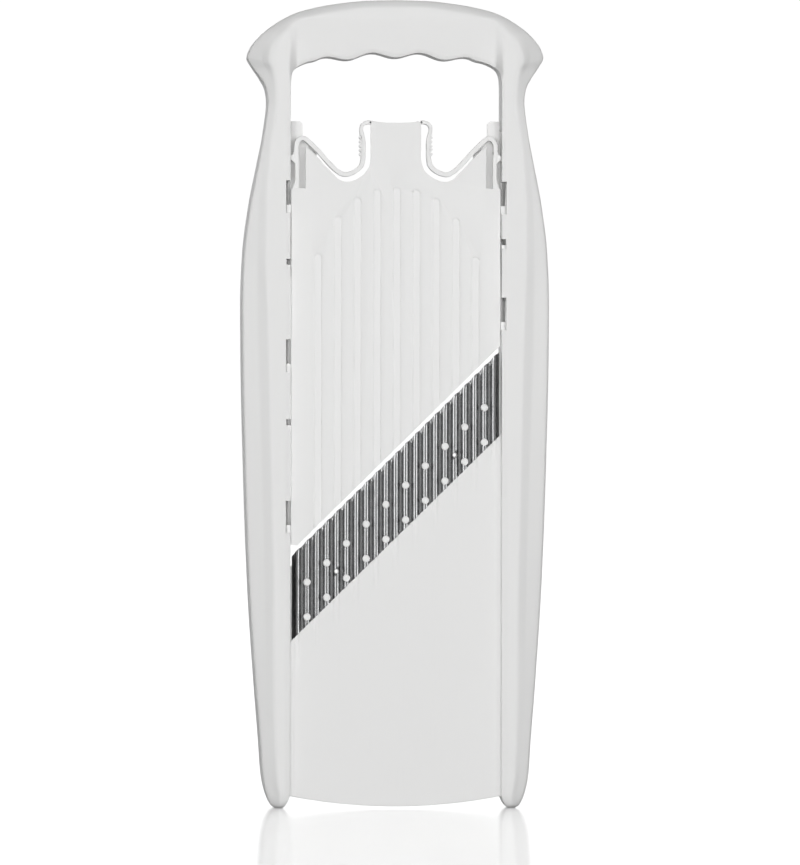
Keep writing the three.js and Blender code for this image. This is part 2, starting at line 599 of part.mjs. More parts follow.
const frame = new THREE.Group();
frame.add(piece('handle', handle(), whitePlastic));
frame.add(piece('left_rail', rail('left'), whitePlastic));
frame.add(piece('right_rail', rail('right'), whitePlastic));
frame.add(piece('run_off_table', runOffTable(), whitePlastic));
frame.add(piece('blade_bed', bladeBed(), whitePlastic));
frame.add(piece('bed_rib', bedRib(), whitePlastic));
frame.add(piece('lower_cross_rib', crossRib(24, 6), whitePlastic));
frame.add(piece('upper_cross_rib', crossRib(52, 6), whitePlastic));
frame.add(...pair('gusset', gusset(), whitePlastic));
for (const { z } of RIB_STATIONS) {
  frame.add(...pair('rail_rib_' + z, railRib(z), whitePlastic));
}
frame.add(piece('cutting_blade', cuttingBlade(), bladeSteel));
for (const [row, height] of Object.entries(STAKE_ROWS)) {
  for (let i = 0; i < STAKES_PER_ROW; i++) {
    const x = stakeX(i);
    const head = stakeHead(x, diagonalZ(x, height));
    frame.add(piece('blade_stake_' + row + '_' + (i + 1), head, whitePlastic));
  }
}

const insert = new THREE.Group();
insert.add(piece('insert_plate', insertPlate(), insertPlastic));
WINDOWS.left.forEach((low, i) => {
  insert.add(piece('insert_lug_left_' + (i + 1), mirrored(lug(low)), insertPlastic));
});
WINDOWS.right.forEach((low, i) => {
  insert.add(piece('insert_lug_right_' + (i + 1), lug(low), insertPlastic));
});
insert.add(piece('insert_back_rib_left', insertBackRib(-24, 150), insertPlastic));
insert.add(piece('insert_back_rib_right', insertBackRib(24, 200), insertPlastic));

const latches = new THREE.Group();
latches.add(...pair('latch_arm', latchArm(), insertPlastic));
latches.add(...pair('spring_band', springBand(), insertPlastic));
latches.add(...pair('finger_grip', fingerGrip(), insertPlastic));

const mandoline = new THREE.Group();
mandoline.add(frame, insert, latches);

export default mandoline;
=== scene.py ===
"""Looks of the waffle-cut mandoline slicer: one white moulded frame, its corrugated blade, the sliding
insert and the two spring latches. Design sizes are in millimetres, scaled to metres where a mesh is made."""

import math

import bmesh
import bpy
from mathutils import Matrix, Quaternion, Vector


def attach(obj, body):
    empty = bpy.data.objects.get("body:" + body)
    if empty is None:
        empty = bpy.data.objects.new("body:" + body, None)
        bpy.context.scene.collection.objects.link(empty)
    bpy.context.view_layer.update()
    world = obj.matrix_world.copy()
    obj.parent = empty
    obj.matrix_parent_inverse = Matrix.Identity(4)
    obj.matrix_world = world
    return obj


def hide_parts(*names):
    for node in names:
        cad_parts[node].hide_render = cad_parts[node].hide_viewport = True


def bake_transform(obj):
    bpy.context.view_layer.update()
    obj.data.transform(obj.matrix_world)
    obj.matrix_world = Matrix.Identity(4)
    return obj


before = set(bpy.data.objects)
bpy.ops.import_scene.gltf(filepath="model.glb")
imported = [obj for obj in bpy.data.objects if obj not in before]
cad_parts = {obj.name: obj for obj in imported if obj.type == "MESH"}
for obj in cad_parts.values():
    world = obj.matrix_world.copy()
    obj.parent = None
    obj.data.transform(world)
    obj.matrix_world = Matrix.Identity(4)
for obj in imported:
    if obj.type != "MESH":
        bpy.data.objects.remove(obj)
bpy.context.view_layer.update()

bl_info = {
    "name": "Waffle Slicer Looks",
    "version": (1, 0, 0),
    "blender": (4, 5, 0),
    "location": "3D View > Sidebar > Slicer",
    "description": "Builds the finished surfaces and the studio of a waffle-cut mandoline slicer",
    "category": "Object",
}

MM = 0.001
MIDDLE_Z = 0.18  # half the slicer's height, in metres
NOISE = (0.3, 0.7)  # where most values of a noise texture lie

# ---------- design sizes, in millimetres ----------
INNER_X = 47.7  # half of the food channel
FACE_Y = -16.0  # front of the frame's ridge
TABLE_Y = -11.5  # front of the run-off table, the insert and the latches
PLATE = 3.0  # thickness of the table and the insert
WALL = 2.4
INNER_SLOPE = 0.45  # fall of the frame's inner edge per millimetre across
SPLIT_Z = 305.0  # where rail and handle meet
INSERT_X = 47.3
TONGUE_X = 11.4
DIAGONAL = 0.985  # rise of the blade per millimetre across
BLADE_TOP = 160.3
BLADE_BOTTOM = 121.9
HOLE_X = 26.7
HOLE_Z = 133.4
STAKE_ROWS = {"upper": 141.6, "lower": 126.0}
INSERT_FOOT = BLADE_TOP + 2.3
TRAVEL_Z = 10.4  # slide of the insert, up and back
TRAVEL_Y = 4.2
LUG = 14.0  # height of the insert's lugs
WINDOW = 14.5
WINDOW_DEEP = 2.1
WINDOWS = {1: (268.6, 216.2), -1: (269.0, 197.2, 124.4)}  # lower ends, right and left
RECESS = 4.4
RECESS_DEEP = 1.9
RECESS_STEP = 1.7
RECESSES = {1: (252.8,), -1: (243.8, 171.4)}
FINGER_PITCH = 21.4
FINGER_DEPTH = 1.15  # half of crest to hollow
BAND_DEPTH = 5.6
GRIP_X = 15.9
GRIP_Z = 295.5

# Stations along the right half of the frame, from the rail tip to the middle of the handle: inner and outer
# edge points (x, z), ridge and crease measured out from the inner edge, depths of ridge, crease and rim,
# rear depths of the outer and inner wall, width of the slope at the inner edge, radius of the ridge's roll.
STATIONS = (
    ((51.2, 0), (54.2, 0), (1.1, 2.2), (-9.5, -8.6, -7.6), (4, 4), (0.8, 1.2)),
    ((50.1, 0.9), (56, 1.2), (2.5, 4.2), (-12.2, -10.9, -9.2), (6, 6), (1.4, 1.6)),
    ((48.7, 3.2), (57.8, 4.6), (3.9, 6.4), (-14.4, -12.6, -10.6), (8.5, 8), (2, 1.8)),
    ((INNER_X, 6.8), (59.1, 8.8), (5, 7.4), (-15.5, -13.6, -11.1), (11, 9), (2.5, 2.4)),
    ((INNER_X, 14), (60.3, 15.5), (5.8, 8.2), (FACE_Y, -14.1, -10.9), (13.5, 10), (2.6, 3)),
    ((INNER_X, 30), (61.3, 30), (6.6, 9.4), (FACE_Y, -13.8, -10.7), (16, 10), (2.6, 3.6)),
    ((INNER_X, 55), (63.3, 55), (7.2, 10.4), (FACE_Y, -13.5, -9.6), (16, 10), (2.6, 4.2)),
    ((INNER_X, 100), (66.3, 100), (7.5, 11.4), (FACE_Y, -12.8, -8.1), (16, 10), (2.6, 2.8)),
    ((INNER_X, 150), (68.2, 150), (8.6, 12.6), (FACE_Y, -12.8, -8.4), (16, 10), (2.2, 2.4)),
    ((INNER_X, 200), (69.4, 200), (9.8, 14.2), (FACE_Y, -12.5, -8.9), (16, 10), (1.8, 2.2)),
    ((INNER_X, 228), (69.6, 228), (10.6, 14.8), (FACE_Y, -12.6, -9), (16, 10), (1.6, 2)),
    ((INNER_X, 250), (68.8, 250), (11.2, 14.8), (FACE_Y, -13.1, -9.3), (16, 10), (1.6, 2)),
    ((INNER_X, 272), (66.1, 272), (11.1, 14.2), (FACE_Y, -13.5, -10.8), (16, 10), (1.6, 2)),
    ((INNER_X, 290), (62.6, 290), (10, 12.4), (FACE_Y, -14.1, -12.2), (15, 10), (1.6, 2.1)),
    ((INNER_X, SPLIT_Z), (59.7, SPLIT_Z), (8.2, 10.3), (FACE_Y, -14.3, -12.9), (13, 10), (1.6, 2.4)),
    ((INNER_X, 318), (58.1, 318.6), (6.3, 8.6), (FACE_Y, -13.9, -12.3), (11, 9), (1.2, 4.6)),
    ((INNER_X, 324.4), (58.9, 325), (6.4, 9), (FACE_Y, -13.5, -11.4), (10, 8.5), (1.2, 5.4)),
    ((47.5, 328.6), (61.4, 330), (7, 10), (FACE_Y, -13, -9.2), (9, 8), (1.2, 6.4)),
    ((47.2, 331), (64.8, 335), (8.2, 11.6), (FACE_Y, -12.3, -6.2), (8.5, 8), (1.3, 7.4)),
    ((46.4, 333), (67.1, 339.4), (10.6, 14.6), (FACE_Y, -11.6, -5), (8, 8), (1.5, 9)),
    ((45, 334.6), (65.9, 343.4), (12.6, 16.8), (FACE_Y, -11.4, -5.8), (8, 8), (1.6, 9)),
    ((42.6, 336), (62, 348.4), (14.8, 18.8), (FACE_Y, -12.4, -8.4), (8, 8), (1.6, 8)),
    ((38.6, 337.4), (55.2, 353.9), (17.8, 20.8), (FACE_Y, -13.8, -11.4), (8, 8), (1.6, 5)),
    ((32.1, 338.2), (44, 359.6), (20.6, 22.7), (FACE_Y, -14.6, -12.9), (8, 8), (1.6, 3.6)),
    ((21.4, 339.4), (27.6, 363.2), (21.2, 23), (FACE_Y, -14.8, -13.3), (8, 8), (1.6, 3.2)),
    ((10.7, 340.2), (13, 364.7), (21.4, 23.2), (FACE_Y, -14.9, -13.6), (8, 8), (1.6, 3)),
    ((0, 340.4), (0, 365), (21.4, 23.2), (FACE_Y, -14.9, -13.6), (8, 8), (1.6, 3)),
)
SPLIT = 14  # the station where rail and handle meet
RAIL_STEPS = 8  # rings between two stations of the rail
HANDLE_STEPS = 14
CORNER_STEPS = 5
STRAIGHT_STEPS = (1, 1, 2, 14, 2, 3)  # parts of each stretch between two corners of a ring


# ---------- settings ----------
def setting(name, description, default, **kind):
    return bpy.props.FloatProperty(name=name, description=description, default=default, **kind)


def colour_setting(name, description, default):
    return bpy.props.FloatVectorProperty(
        name=name, description=description, default=default, subtype="COLOR", size=4, min=0.0, max=1.0
    )


class SlicerShape(bpy.types.PropertyGroup):
    wave_pitch: setting("Wave pitch", "Distance between two crests of the blade", 0.00445, unit="LENGTH")
    wave_height: setting("Wave height", "Half of the blade's crest to valley", 0.0011, unit="LENGTH")
    blade_thickness: setting("Blade thickness", "Thickness of the steel strip", 0.0006, unit="LENGTH")
    ground_edge: setting("Ground edge", "Width of the bevel at the cutting edge", 0.0016, unit="LENGTH")
    channel_depth: setting("Channel depth", "Depth of the insert's channels", 0.0006, unit="LENGTH")
    channel_width: setting("Channel width", "Width of one channel of the insert", 0.0042, unit="LENGTH")
    groove_depth: setting("Groove depth", "Depth of the grooves under the blade", 0.0006, unit="LENGTH")
    stake_radius: setting("Stake radius", "Radius of a heat-formed stake head", 0.00168, unit="LENGTH")


class SlicerColours(bpy.types.PropertyGroup):
    frame_white: colour_setting("Frame white", "Base colour of the frame", (0.80, 0.80, 0.795, 1.0))
    insert_white: colour_setting("Insert white", "Colour of insert and latches", (0.82, 0.82, 0.815, 1.0))
    stake_white: colour_setting("Stake white", "Base colour of the stake heads", (0.86, 0.86, 0.855, 1.0))
    steel: colour_setting("Steel", "Base colour of the blade", (0.60, 0.605, 0.61, 1.0))
    floor: colour_setting("Floor", "Colour of the studio floor", (0.5, 0.5, 0.5, 1.0))


class SlicerStudio(bpy.types.PropertyGroup):
    azimuth: setting("Azimuth", "Where the camera stands", math.radians(-2.75), subtype="ANGLE")
    roll: setting("Roll", "Turn of the camera about its own axis", math.radians(0.06), subtype="ANGLE")
    distance: setting("Distance", "From the camera to the slicer", 4.0, unit="LENGTH")
    lens: setting("Focal length", "Focal length of the camera", 368.0, unit="CAMERA")
    dome: setting("Dome", "Brightness of the white surround", 0.05)
    backlight: setting("Backlight", "Brightness of the white surround behind the slicer", 0.9)
    softbox: setting("Softbox", "Power of the softbox in front", 91.0, unit="POWER")
    side: setting("Side softbox", "Power of the softbox at the right", 1.0, unit="POWER")
    panel: setting("Side panels", "Power of the panels mirrored by the blade", 46.0, unit="POWER")
    mirrored: setting("Mirrored dome", "Brightness of the surround mirrored by the blade", 0.31)


# ---------- meshes ----------
def link(name, mesh, material=None):
    obj = bpy.data.objects.new(name, mesh)
    bpy.context.scene.collection.objects.link(obj)
    if material:
        mesh.materials.append(material)
    return obj


def solid(name, points, faces, material=None, sharp=32.0):
    """A closed mesh from points in millimetres, facing outwards and smooth up to the sharp angle."""
    mesh = bpy.data.meshes.new(name)
    mesh.from_pydata([Vector(p) * MM for p in points], [], faces)
    shape = bmesh.new()
    shape.from_mesh(mesh)
    bmesh.ops.recalc_face_normals(shape, faces=shape.faces)
    shape.to_mesh(mesh)
    shape.free()
    soften(mesh, sharp)
    return link(name, mesh, material)


def soften(mesh, sharp=32.0):
    mesh.shade_smooth()
    mesh.set_sharp_from_angle(angle=math.radians(sharp))


def bake_modifiers(obj):
    """Turns what the modifiers make into the object's own plain mesh."""
    depsgraph = bpy.context.evaluated_depsgraph_get()
    plain = bpy.data.meshes.new_from_object(obj.evaluated_get(depsgraph))
    obj.modifiers.clear()
    obj.data = plain
    plain.name = obj.name
    return obj


def rounded(obj, width, segments=3):
    """Rounds every edge sharper than 40 degrees."""
    bevel = obj.modifiers.new("edge_rounding", "BEVEL")
    bevel.width = width * MM
    bevel.segments = segments
    bevel.limit_method = "ANGLE"
    bevel.angle_limit = math.radians(40)
    bake_modifiers(obj)
    soften(obj.data)
    return obj


def prism(name, outline, plane, low, high, material=None):
    """An outline in the xz or yz plane, pulled along the third axis between low and high."""
    place = {"xz": lambda a, b, c: (a, c, b), "yz": lambda a, b, c: (c, a, b)}[plane]
    count = len(outline)
    points = [place(a, b, depth) for depth in (low, high) for a, b in outline]
    faces = [tuple(range(count)), tuple(range(count, 2 * count))]
    faces += [(i, (i + 1) % count, count + (i + 1) % count, count + i) for i in range(count)]
    return solid(name, points, faces, material)


def cut(obj, cutters):
    """Takes the cutters out of the object and removes them."""
    for cutter in cutters:
        boolean = obj.modifiers.new("cut", "BOOLEAN")
        boolean.operation = "DIFFERENCE"
        boolean.solver = "EXACT"
        boolean.object = cutter
    bake_modifiers(obj)
    for cutter in cutters:
        bpy.data.objects.remove(cutter)
    return obj


def smooth_path(points, steps):
    """A smooth line through the points, with the given steps between two of them."""
    last = len(points) - 1
    path = []
    for i in range(last):
        before, a, b, after = (Vector(points[min(max(k, 0), last)]) for k in (i - 1, i, i + 1, i + 2))
        for step in range(steps):
            t = step / steps
            path.append(
                0.5 * (2 * a + (b - before) * t + (2 * before - 5 * a + 4 * b - after) * t * t
                       + (3 * a - before - 3 * b + after) * t ** 3)
            )
    path.append(Vector(points[-1]))
    return path


def tube_faces(rings, count):
    """The side faces between rings of the same count of points, ring after ring."""
    faces = []
    for r in range(rings - 1):
        a, b = r * count, (r + 1) * count
        faces += [(a + i, a + (i + 1) % count, b + (i + 1) % count, b + i) for i in range(count)]
    return faces


# ---------- the frame's shell ----------
def clamp(t):
    return min(max(t, 0.0), 1.0)


def smoothstep(t):
    t = clamp(t)
    return t * t * (3 - 2 * t)


def between(values, at):
    """A smooth value between stations that never overshoots them."""
    last = len(values) - 1
    i = min(int(at), last - 1)
    t = at - i

    def slope(k):
        if k == 0:
            return values[1] - values[0]
        if k == last:
            return 0.0
        before, after = values[k] - values[k - 1], values[k + 1] - values[k]
        return 0.0 if before * after <= 0 else 2 * before * after / (before + after)

    return (
        values[i] * (2 * t ** 3 - 3 * t * t + 1) + slope(i) * (t ** 3 - 2 * t * t + t)
        + values[i + 1] * (3 * t * t - 2 * t ** 3) + slope(i + 1) * (t ** 3 - t * t)
    )


def turned_corner(before, corner, after, radius):
    """A rounded corner; it never takes up more than a fixed share of the stretches beside it."""
    shortest, share = 0.15, 0.42
    a, b = Vector(before) - Vector(corner), Vector(after) - Vector(corner)
    turn = math.pi - a.angle(b)
    reach = min(max(radius * math.tan(turn / 2), shortest), share * min(a.length, b.length))
    start, end = Vector(corner) + a.normalized() * reach, Vector(corner) + b.normalized() * reach
    line = []
    for step in range(CORNER_STEPS + 1):
        t = step / CORNER_STEPS
        line.append(start * (1 - t) ** 2 + Vector(corner) * 2 * t * (1 - t) + end * t * t)
    return line


def turned_path(corners):
    """A path with rounded inner corners; corners are (across, depth, radius)."""
    path = [Vector(corners[0][:2])]
    for i in range(1, len(corners) - 1):
        corner = turned_corner(corners[i - 1][:2], corners[i][:2], corners[i + 1][:2], corners[i][2])
        parts = STRAIGHT_STEPS[i]
        path += [path[-1].lerp(corner[0], k / parts) for k in range(1, parts)] + corner
    return path + [Vector(corners[-1][:2])]


def inside(corners, thickness):
    """The same path, one wall thickness further in."""
    smallest, parallel = 0.2, 1e-6
    lines = []
    for (ax, ay, *_), (bx, by, *_) in zip(corners, corners[1:]):
        length = math.hypot(bx - ax, by - ay)
        nx, ny = -(by - ay) / length * thickness, (bx - ax) / length * thickness
        lines.append((Vector((ax + nx, ay + ny)), Vector((bx + nx, by + ny))))
    moved = [(*lines[0][0], 0)]
    for i in range(1, len(lines)):
        (p0, p1), (q0, q1) = lines[i - 1], lines[i]
        d1, d2 = p1 - p0, q1 - q0
        turn = d1.cross(d2)
        along = 1.0 if abs(turn) < parallel else (q0 - p0).cross(d2) / turn
        radius = corners[i][2]
        radius = max(radius - thickness, smallest) if turn > 0 else radius + thickness
        moved.append((*(p0 + d1 * along), radius))
    return moved + [(*lines[-1][1], 0)]


def handle_share(at):
    """How far a ring belongs to the handle: 0 along the rail, 1 from five stations above the split."""
    start, blend = 2, 3
    return smoothstep((at - SPLIT - start) / blend)


def finger_wave(x):
    """Rise of the handle's lower edge over the four finger hollows."""
    end, fade = 33, 6
    return -FINGER_DEPTH * math.cos(2 * math.pi * x / FINGER_PITCH) * (1 - smoothstep((abs(x) - end) / fade))


def grip_recess(x, z):
    """How far the grip's face lies behind the uprights' faces."""
    deepest, edge, side, top, slope = 5.5, 1.4, 4.8, 357, 21
    return deepest * smoothstep((INNER_X + edge - abs(x)) / side) * clamp((top - z) / slope)


def ring(at):
    """One ring of the shell: the front from inner to outer edge, then the inside back again."""
    edge_roll, slope_roll, crease_roll, rim_roll = 0.5, 5, 10, 3
    solid_end, hollow_blend = 1, 2
    core_start, core_width = 0.25, 0.5
    flat_depth = 2  # the grip's recess fades out towards this depth
    inner, outer, across, depth, back, edges = (
        [between([station[field][k] for station in STATIONS], at) for k in range(len(STATIONS[0][field]))]
        for field in range(6)
    )
    inner, outer = Vector(inner), Vector(outer)
    length = (outer - inner).length
    along = (outer - inner) / length
    slope, ridge_roll = edges
    corners = [
        (0, back[1], 0), (0, depth[0] + INNER_SLOPE * slope, edge_roll), (slope, depth[0], slope_roll),
        (across[0], depth[0], ridge_roll), (across[1], depth[1], crease_roll), (length, depth[2], rim_roll),
        (length, back[0], 0),
    ]
    front = turned_path(corners)
    behind = turned_path(inside(corners, WALL))
    hollow = smoothstep((at - solid_end) / hollow_blend)
    filled = []
    for i, (across_in, y) in enumerate(behind):
        share = i / (len(behind) - 1)
        rear = back[1] + (back[0] - back[1]) * share
        spread = length * (core_start + core_width * share)
        filled.append(Vector((spread + (across_in - spread) * hollow, rear + (y - rear) * hollow)))
    points = []
    for d, y in front + filled[::-1]:
        x = inner.x + along.x * d
        z = inner.y + along.y * d + finger_wave(inner.x) * handle_share(at) * (1 - d / length)
        frontness = clamp((flat_depth - y) / (flat_depth - FACE_Y))
        points.append((x, y + grip_recess(x, z) * handle_share(at) * frontness, z))
    return points


def shell_rings():
    """Rings up the right rail, over the handle and down the left rail."""
    last = len(STATIONS) - 1
    places = [i / RAIL_STEPS for i in range(SPLIT * RAIL_STEPS)]
    places += [SPLIT + i / HANDLE_STEPS for i in range((last - SPLIT) * HANDLE_STEPS)]
    right = [ring(at) for at in places]
    left = [[(-x, y, z) for x, y, z in points] for points in reversed(right)]
    return right + [ring(last)] + left


def shell_faces(rings):
    count = len(rings[0])
    faces = tube_faces(len(rings), count)
    for first in (0, (len(rings) - 1) * count):
        faces += [
            (first + i, first + i + 1, first + count - 2 - i, first + count - 1 - i)
            for i in range(count // 2 - 1)
        ]
    return faces


def openings(side):
    """Lower and upper ends of one rail's lug windows, and of its blind recesses behind their step."""
    play = 0.2
    windows = [(low - play, low + WINDOW) for low in WINDOWS[side]]
    recesses = [(low + RECESS_STEP, low + RECESS - play / 2) for low in RECESSES[side]]
    return windows, recesses


def rail_cutters(side):
    """The lug windows, the slanted slots behind them, the blind recesses and the click rack of one rail."""
    channel = INNER_X - 1  # cutters begin inside the food channel, in front of the face
    front, through = FACE_Y - 2, 1
    play = 0.3  # round a lug in its slot
    slot_front, slot_depth, past_wall = TABLE_Y - 0.1, 3.4, INNER_X + WALL + 0.4
    step_y, rack_y = TABLE_Y - 1.2, TABLE_Y - 0.6

    def box(deep, rear, low, high):
        outline = [(front, low), (rear, low), (rear, high), (front, high)]
        return prism("cutter", outline, "yz", *sorted((side * channel, side * (INNER_X + deep))))

    windows, recesses = openings(side)
    cutters = []
    for (low, high), bottom in zip(windows, WINDOWS[side]):
        cutters.append(box(WINDOW_DEEP, through, low, high))
        rest = bottom - TRAVEL_Z - play
        top = rest + LUG + 2 * play
        moved = slot_front + TRAVEL_Y
        slot = [
            (slot_front, rest), (slot_front, top), (moved, top + TRAVEL_Z),
            (moved + slot_depth, top + TRAVEL_Z), (moved + slot_depth, rest + TRAVEL_Z),
            (slot_front + slot_depth, rest),
        ]
        ends = sorted((side * channel, side * past_wall))
        cutters.append(prism("cutter", slot, "yz", *ends))
    for (low, high), bottom in zip(recesses, RECESSES[side]):
        cutters.append(box(RECESS_DEEP, step_y, bottom, bottom + RECESS))
        cutters.append(box(RECESS_DEEP, through, low, high))

    clicks, first_click, half_click = 4, 293.2, 1.5
    rack_x, click_x, rack_foot, rack_top = INNER_X + 0.7, INNER_X + 1.4, 289, SPLIT_Z + 1.4
    rack = [(channel, rack_foot), (rack_x, rack_foot)]
    for i in range(clicks):
        z = first_click + i * TRAVEL_Z / (clicks - 1)
        rack += [(rack_x, z - half_click), (click_x, z), (rack_x, z + half_click)]
    rack += [(rack_x, rack_top), (channel, rack_top)]
    cutters.append(prism("cutter", [(side * x, z) for x, z in rack], "xz", rack_y, 0))
    return cutters


def window_backs(material):
    """The steep wedges that close the lug windows and the blind recesses from behind."""
    overlap = 0.2
    section = ((INNER_X - 0.9, -0.1), (INNER_X + 0.7, -3.9), (INNER_X + 2.3, -0.1))
    points, faces = [], []
    for side in (1, -1):
        windows, recesses = openings(side)
        for low, high in windows + recesses:
            first = len(points)
            for z in (low - overlap, high + overlap):
                points += [(side * x, y, z) for x, y in section]
            for face in ((0, 1, 2), (3, 5, 4), (0, 3, 4, 1), (1, 4, 5, 2), (2, 5, 3, 0)):
                faces.append([first + i for i in face])
    return solid("window_backs", points, faces, material)


# ---------- node trees ----------
class Nodes:
    """Adds nodes to one tree and links what they are given."""

    def __init__(self, tree):
        self.tree = tree

    def feed(self, node, inputs):
        for socket, value in inputs.items():
            if isinstance(value, bpy.types.NodeSocket):
                self.tree.links.new(value, node.inputs[socket])
            else:
                node.inputs[socket].default_value = value

    def add(self, kind, inputs=None, **settings):
        node = self.tree.nodes.new(kind)
        for name, value in settings.items():
            setattr(node, name, value)
        self.feed(node, inputs or {})
        return node

    def math(self, operation, *values):
        return self.add("ShaderNodeMath", dict(enumerate(values)), operation=operation).outputs[0]

    def product(self, *factors):
        result = factors[0]
        for factor in factors[1:]:
            result = self.math("MULTIPLY", result, factor)
        return result

    def ramp(self, value, low, high, to_low=0.0, to_high=1.0, kind="SMOOTHSTEP"):
        settings = {"Value": value, "From Min": low, "From Max": high, "To Min": to_low, "To Max": to_high}
        return self.add("ShaderNodeMapRange", settings, interpolation_type=kind).outputs["Result"]

    def mix(self, low, high, share):
        return self.math("MULTIPLY_ADD", self.math("SUBTRACT", high, low), share, low)

    def vector(self, x=0.0, y=0.0, z=0.0):
        return self.add("ShaderNodeCombineXYZ", {0: x, 1: y, 2: z}).outputs[0]

    def coordinates(self, vector):
        return self.add("ShaderNodeSeparateXYZ", {0: vector}).outputs

    def position(self):
        return self.coordinates(self.add("GeometryNodeInputPosition").outputs[0])

    def row(self, count, start, step):
        """Points in a straight row, one step apart."""
        places = {"Count": count, "Start Location": start, "Offset": step}
        return self.add("GeometryNodeMeshLine", places).outputs[0]

    def row_start(self, count, spacing):
        """Where a row begins whose middle is at zero."""
        return self.product(self.math("SUBTRACT", count, 1.0), -0.5, spacing)

    def lying_bar(self, sizes, place):
        """A round bar along y."""
        bar = self.add("GeometryNodeMeshCylinder", sizes).outputs["Mesh"]
        turned = {"Geometry": bar, "Translation": place, "Rotation": (math.pi / 2, 0, 0)}
        return self.add("GeometryNodeTransform", turned).outputs[0]

    def end(self, geometry, material, output):
        real = self.add("GeometryNodeRealizeInstances", {"Geometry": geometry})
        coated = self.add("GeometryNodeSetMaterial", {"Geometry": real.outputs[0], "Material": material})
        self.tree.links.new(coated.outputs[0], output.inputs[0])


def growth(name, sizes):
    """A geometry tree with named inputs: returns its nodes, its inputs by name and its output node."""
    tree = bpy.data.node_groups.new(name, "GeometryNodeTree")
    tree.interface.new_socket("Geometry", in_out="OUTPUT", socket_type="NodeSocketGeometry")
    for label, value in sizes.items():
        kind = "NodeSocketInt" if isinstance(value, int) else "NodeSocketFloat"
        tree.interface.new_socket(label, in_out="INPUT", socket_type=kind).default_value = value
    tree.interface.new_socket("Material", in_out="INPUT", socket_type="NodeSocketMaterial")
    made = Nodes(tree)
    given = made.add("NodeGroupInput")
    return made, given.outputs, made.add("NodeGroupOutput")


def grow(name, nodes, values):
    """Runs a geometry tree on an empty mesh and keeps what it makes as a plain mesh."""
    obj = link(name, bpy.data.meshes.new(name))
    modifier = obj.modifiers.new(name, "NODES")
    modifier.node_group = nodes.tree
    for item in nodes.tree.interface.items_tree:
        if item.item_type == "SOCKET" and item.in_out == "INPUT" and item.name in values:
            modifier[item.identifier] = values[item.name]
    bake_modifiers(obj)
    soften(obj.data)
    return obj


def block(nodes, columns, rows):
    """A closed block of unit size: its mesh, across and up coordinates and whether a point is behind."""
    sizes = {"Size": (1, 1, 1), "Vertices X": columns, "Vertices Y": 2, "Vertices Z": rows}
    made = nodes.add("GeometryNodeMeshCube", sizes)
    place = nodes.position()
    up = nodes.math("ADD", place[2], 0.5)
    behind = nodes.math("GREATER_THAN", place[1], 0.0)
    return made.outputs["Mesh"], place[0], up, behind


def placed(nodes, mesh, x, y, z):
    places = {"Geometry": mesh, "Position": nodes.vector(x, y, z)}
    return nodes.add("GeometryNodeSetPosition", places).outputs[0]


def quarter(nodes, gap, radius):
    """Height of a rounded edge over the distance from it."""
    t = nodes.ramp(gap, 0.0, radius, 1.0, 0.0, kind="LINEAR")
    root = nodes.math("SQRT", nodes.math("SUBTRACT", 1.0, nodes.product(t, t)))
    return nodes.product(nodes.math("SUBTRACT", 1.0, root), radius)


def corrugated_blade_tree():
    sizes = {
        "Half Width": 0.0469, "Wave Pitch": 0.00445, "Half Waves": 10.5, "Wave Height": 0.0011,
        "Thickness": 0.0006, "Ground Edge": 0.0016, "Ground Share": 0.85, "Slope": DIAGONAL,
        "Lower": BLADE_BOTTOM * MM, "Upper": BLADE_TOP * MM, "Edge Scallops": -0.0003,
        "Middle Depth": -0.0116, "Pin Across": HOLE_X * MM, "Pin Height": HOLE_Z * MM, "Pin Radius": 0.00105,
    }
    nodes, given, output = growth("corrugated_blade", sizes)
    mesh, across, up, behind = block(nodes, 421, 26)
    x = nodes.product(across, nodes.product(given["Half Width"], 2.0))
    turn = nodes.product(nodes.math("DIVIDE", x, given["Wave Pitch"]), 2 * math.pi)
    reach = nodes.product(given["Wave Pitch"], given["Half Waves"])
    flat_end = nodes.math("GREATER_THAN", nodes.math("ABSOLUTE", x), reach)
    wave = nodes.math("SINE", nodes.product(nodes.math("COSINE", turn), -math.pi / 2))
    wave = nodes.mix(wave, 1.0, flat_end)
    slant = nodes.product(x, given["Slope"])
    rise = nodes.mix(given["Lower"], given["Upper"], nodes.math("POWER", up, 0.5))
    below = nodes.math("SUBTRACT", given["Upper"], rise)
    ground = nodes.ramp(below, 0.0, given["Ground Edge"], given["Ground Share"], 0.0, kind="LINEAR")
    share = nodes.math("MAXIMUM", behind, ground)
    y = nodes.math("MULTIPLY_ADD", wave, given["Wave Height"], given["Middle Depth"])
    y = nodes.math("MULTIPLY_ADD", given["Thickness"], share, y)
    z = nodes.math("MULTIPLY_ADD", wave, given["Edge Scallops"], nodes.math("ADD", slant, rise))
    sheet = placed(nodes, mesh, x, y, z)
    pierced = nodes.add("GeometryNodeMeshBoolean", {"Mesh 1": sheet}, operation="DIFFERENCE", solver="EXACT")
    for side in (-1.0, 1.0):
        pin_x = nodes.product(given["Pin Across"], side)
        pin_z = nodes.math("MULTIPLY_ADD", pin_x, given["Slope"], given["Pin Height"])
        place = nodes.vector(pin_x, given["Middle Depth"], pin_z)
        pin = nodes.lying_bar({"Vertices": 28, "Radius": given["Pin Radius"], "Depth": 0.02}, place)
        nodes.tree.links.new(pin, pierced.inputs["Mesh 2"])
    nodes.end(pierced.outputs[0], given["Material"], output)
    return nodes


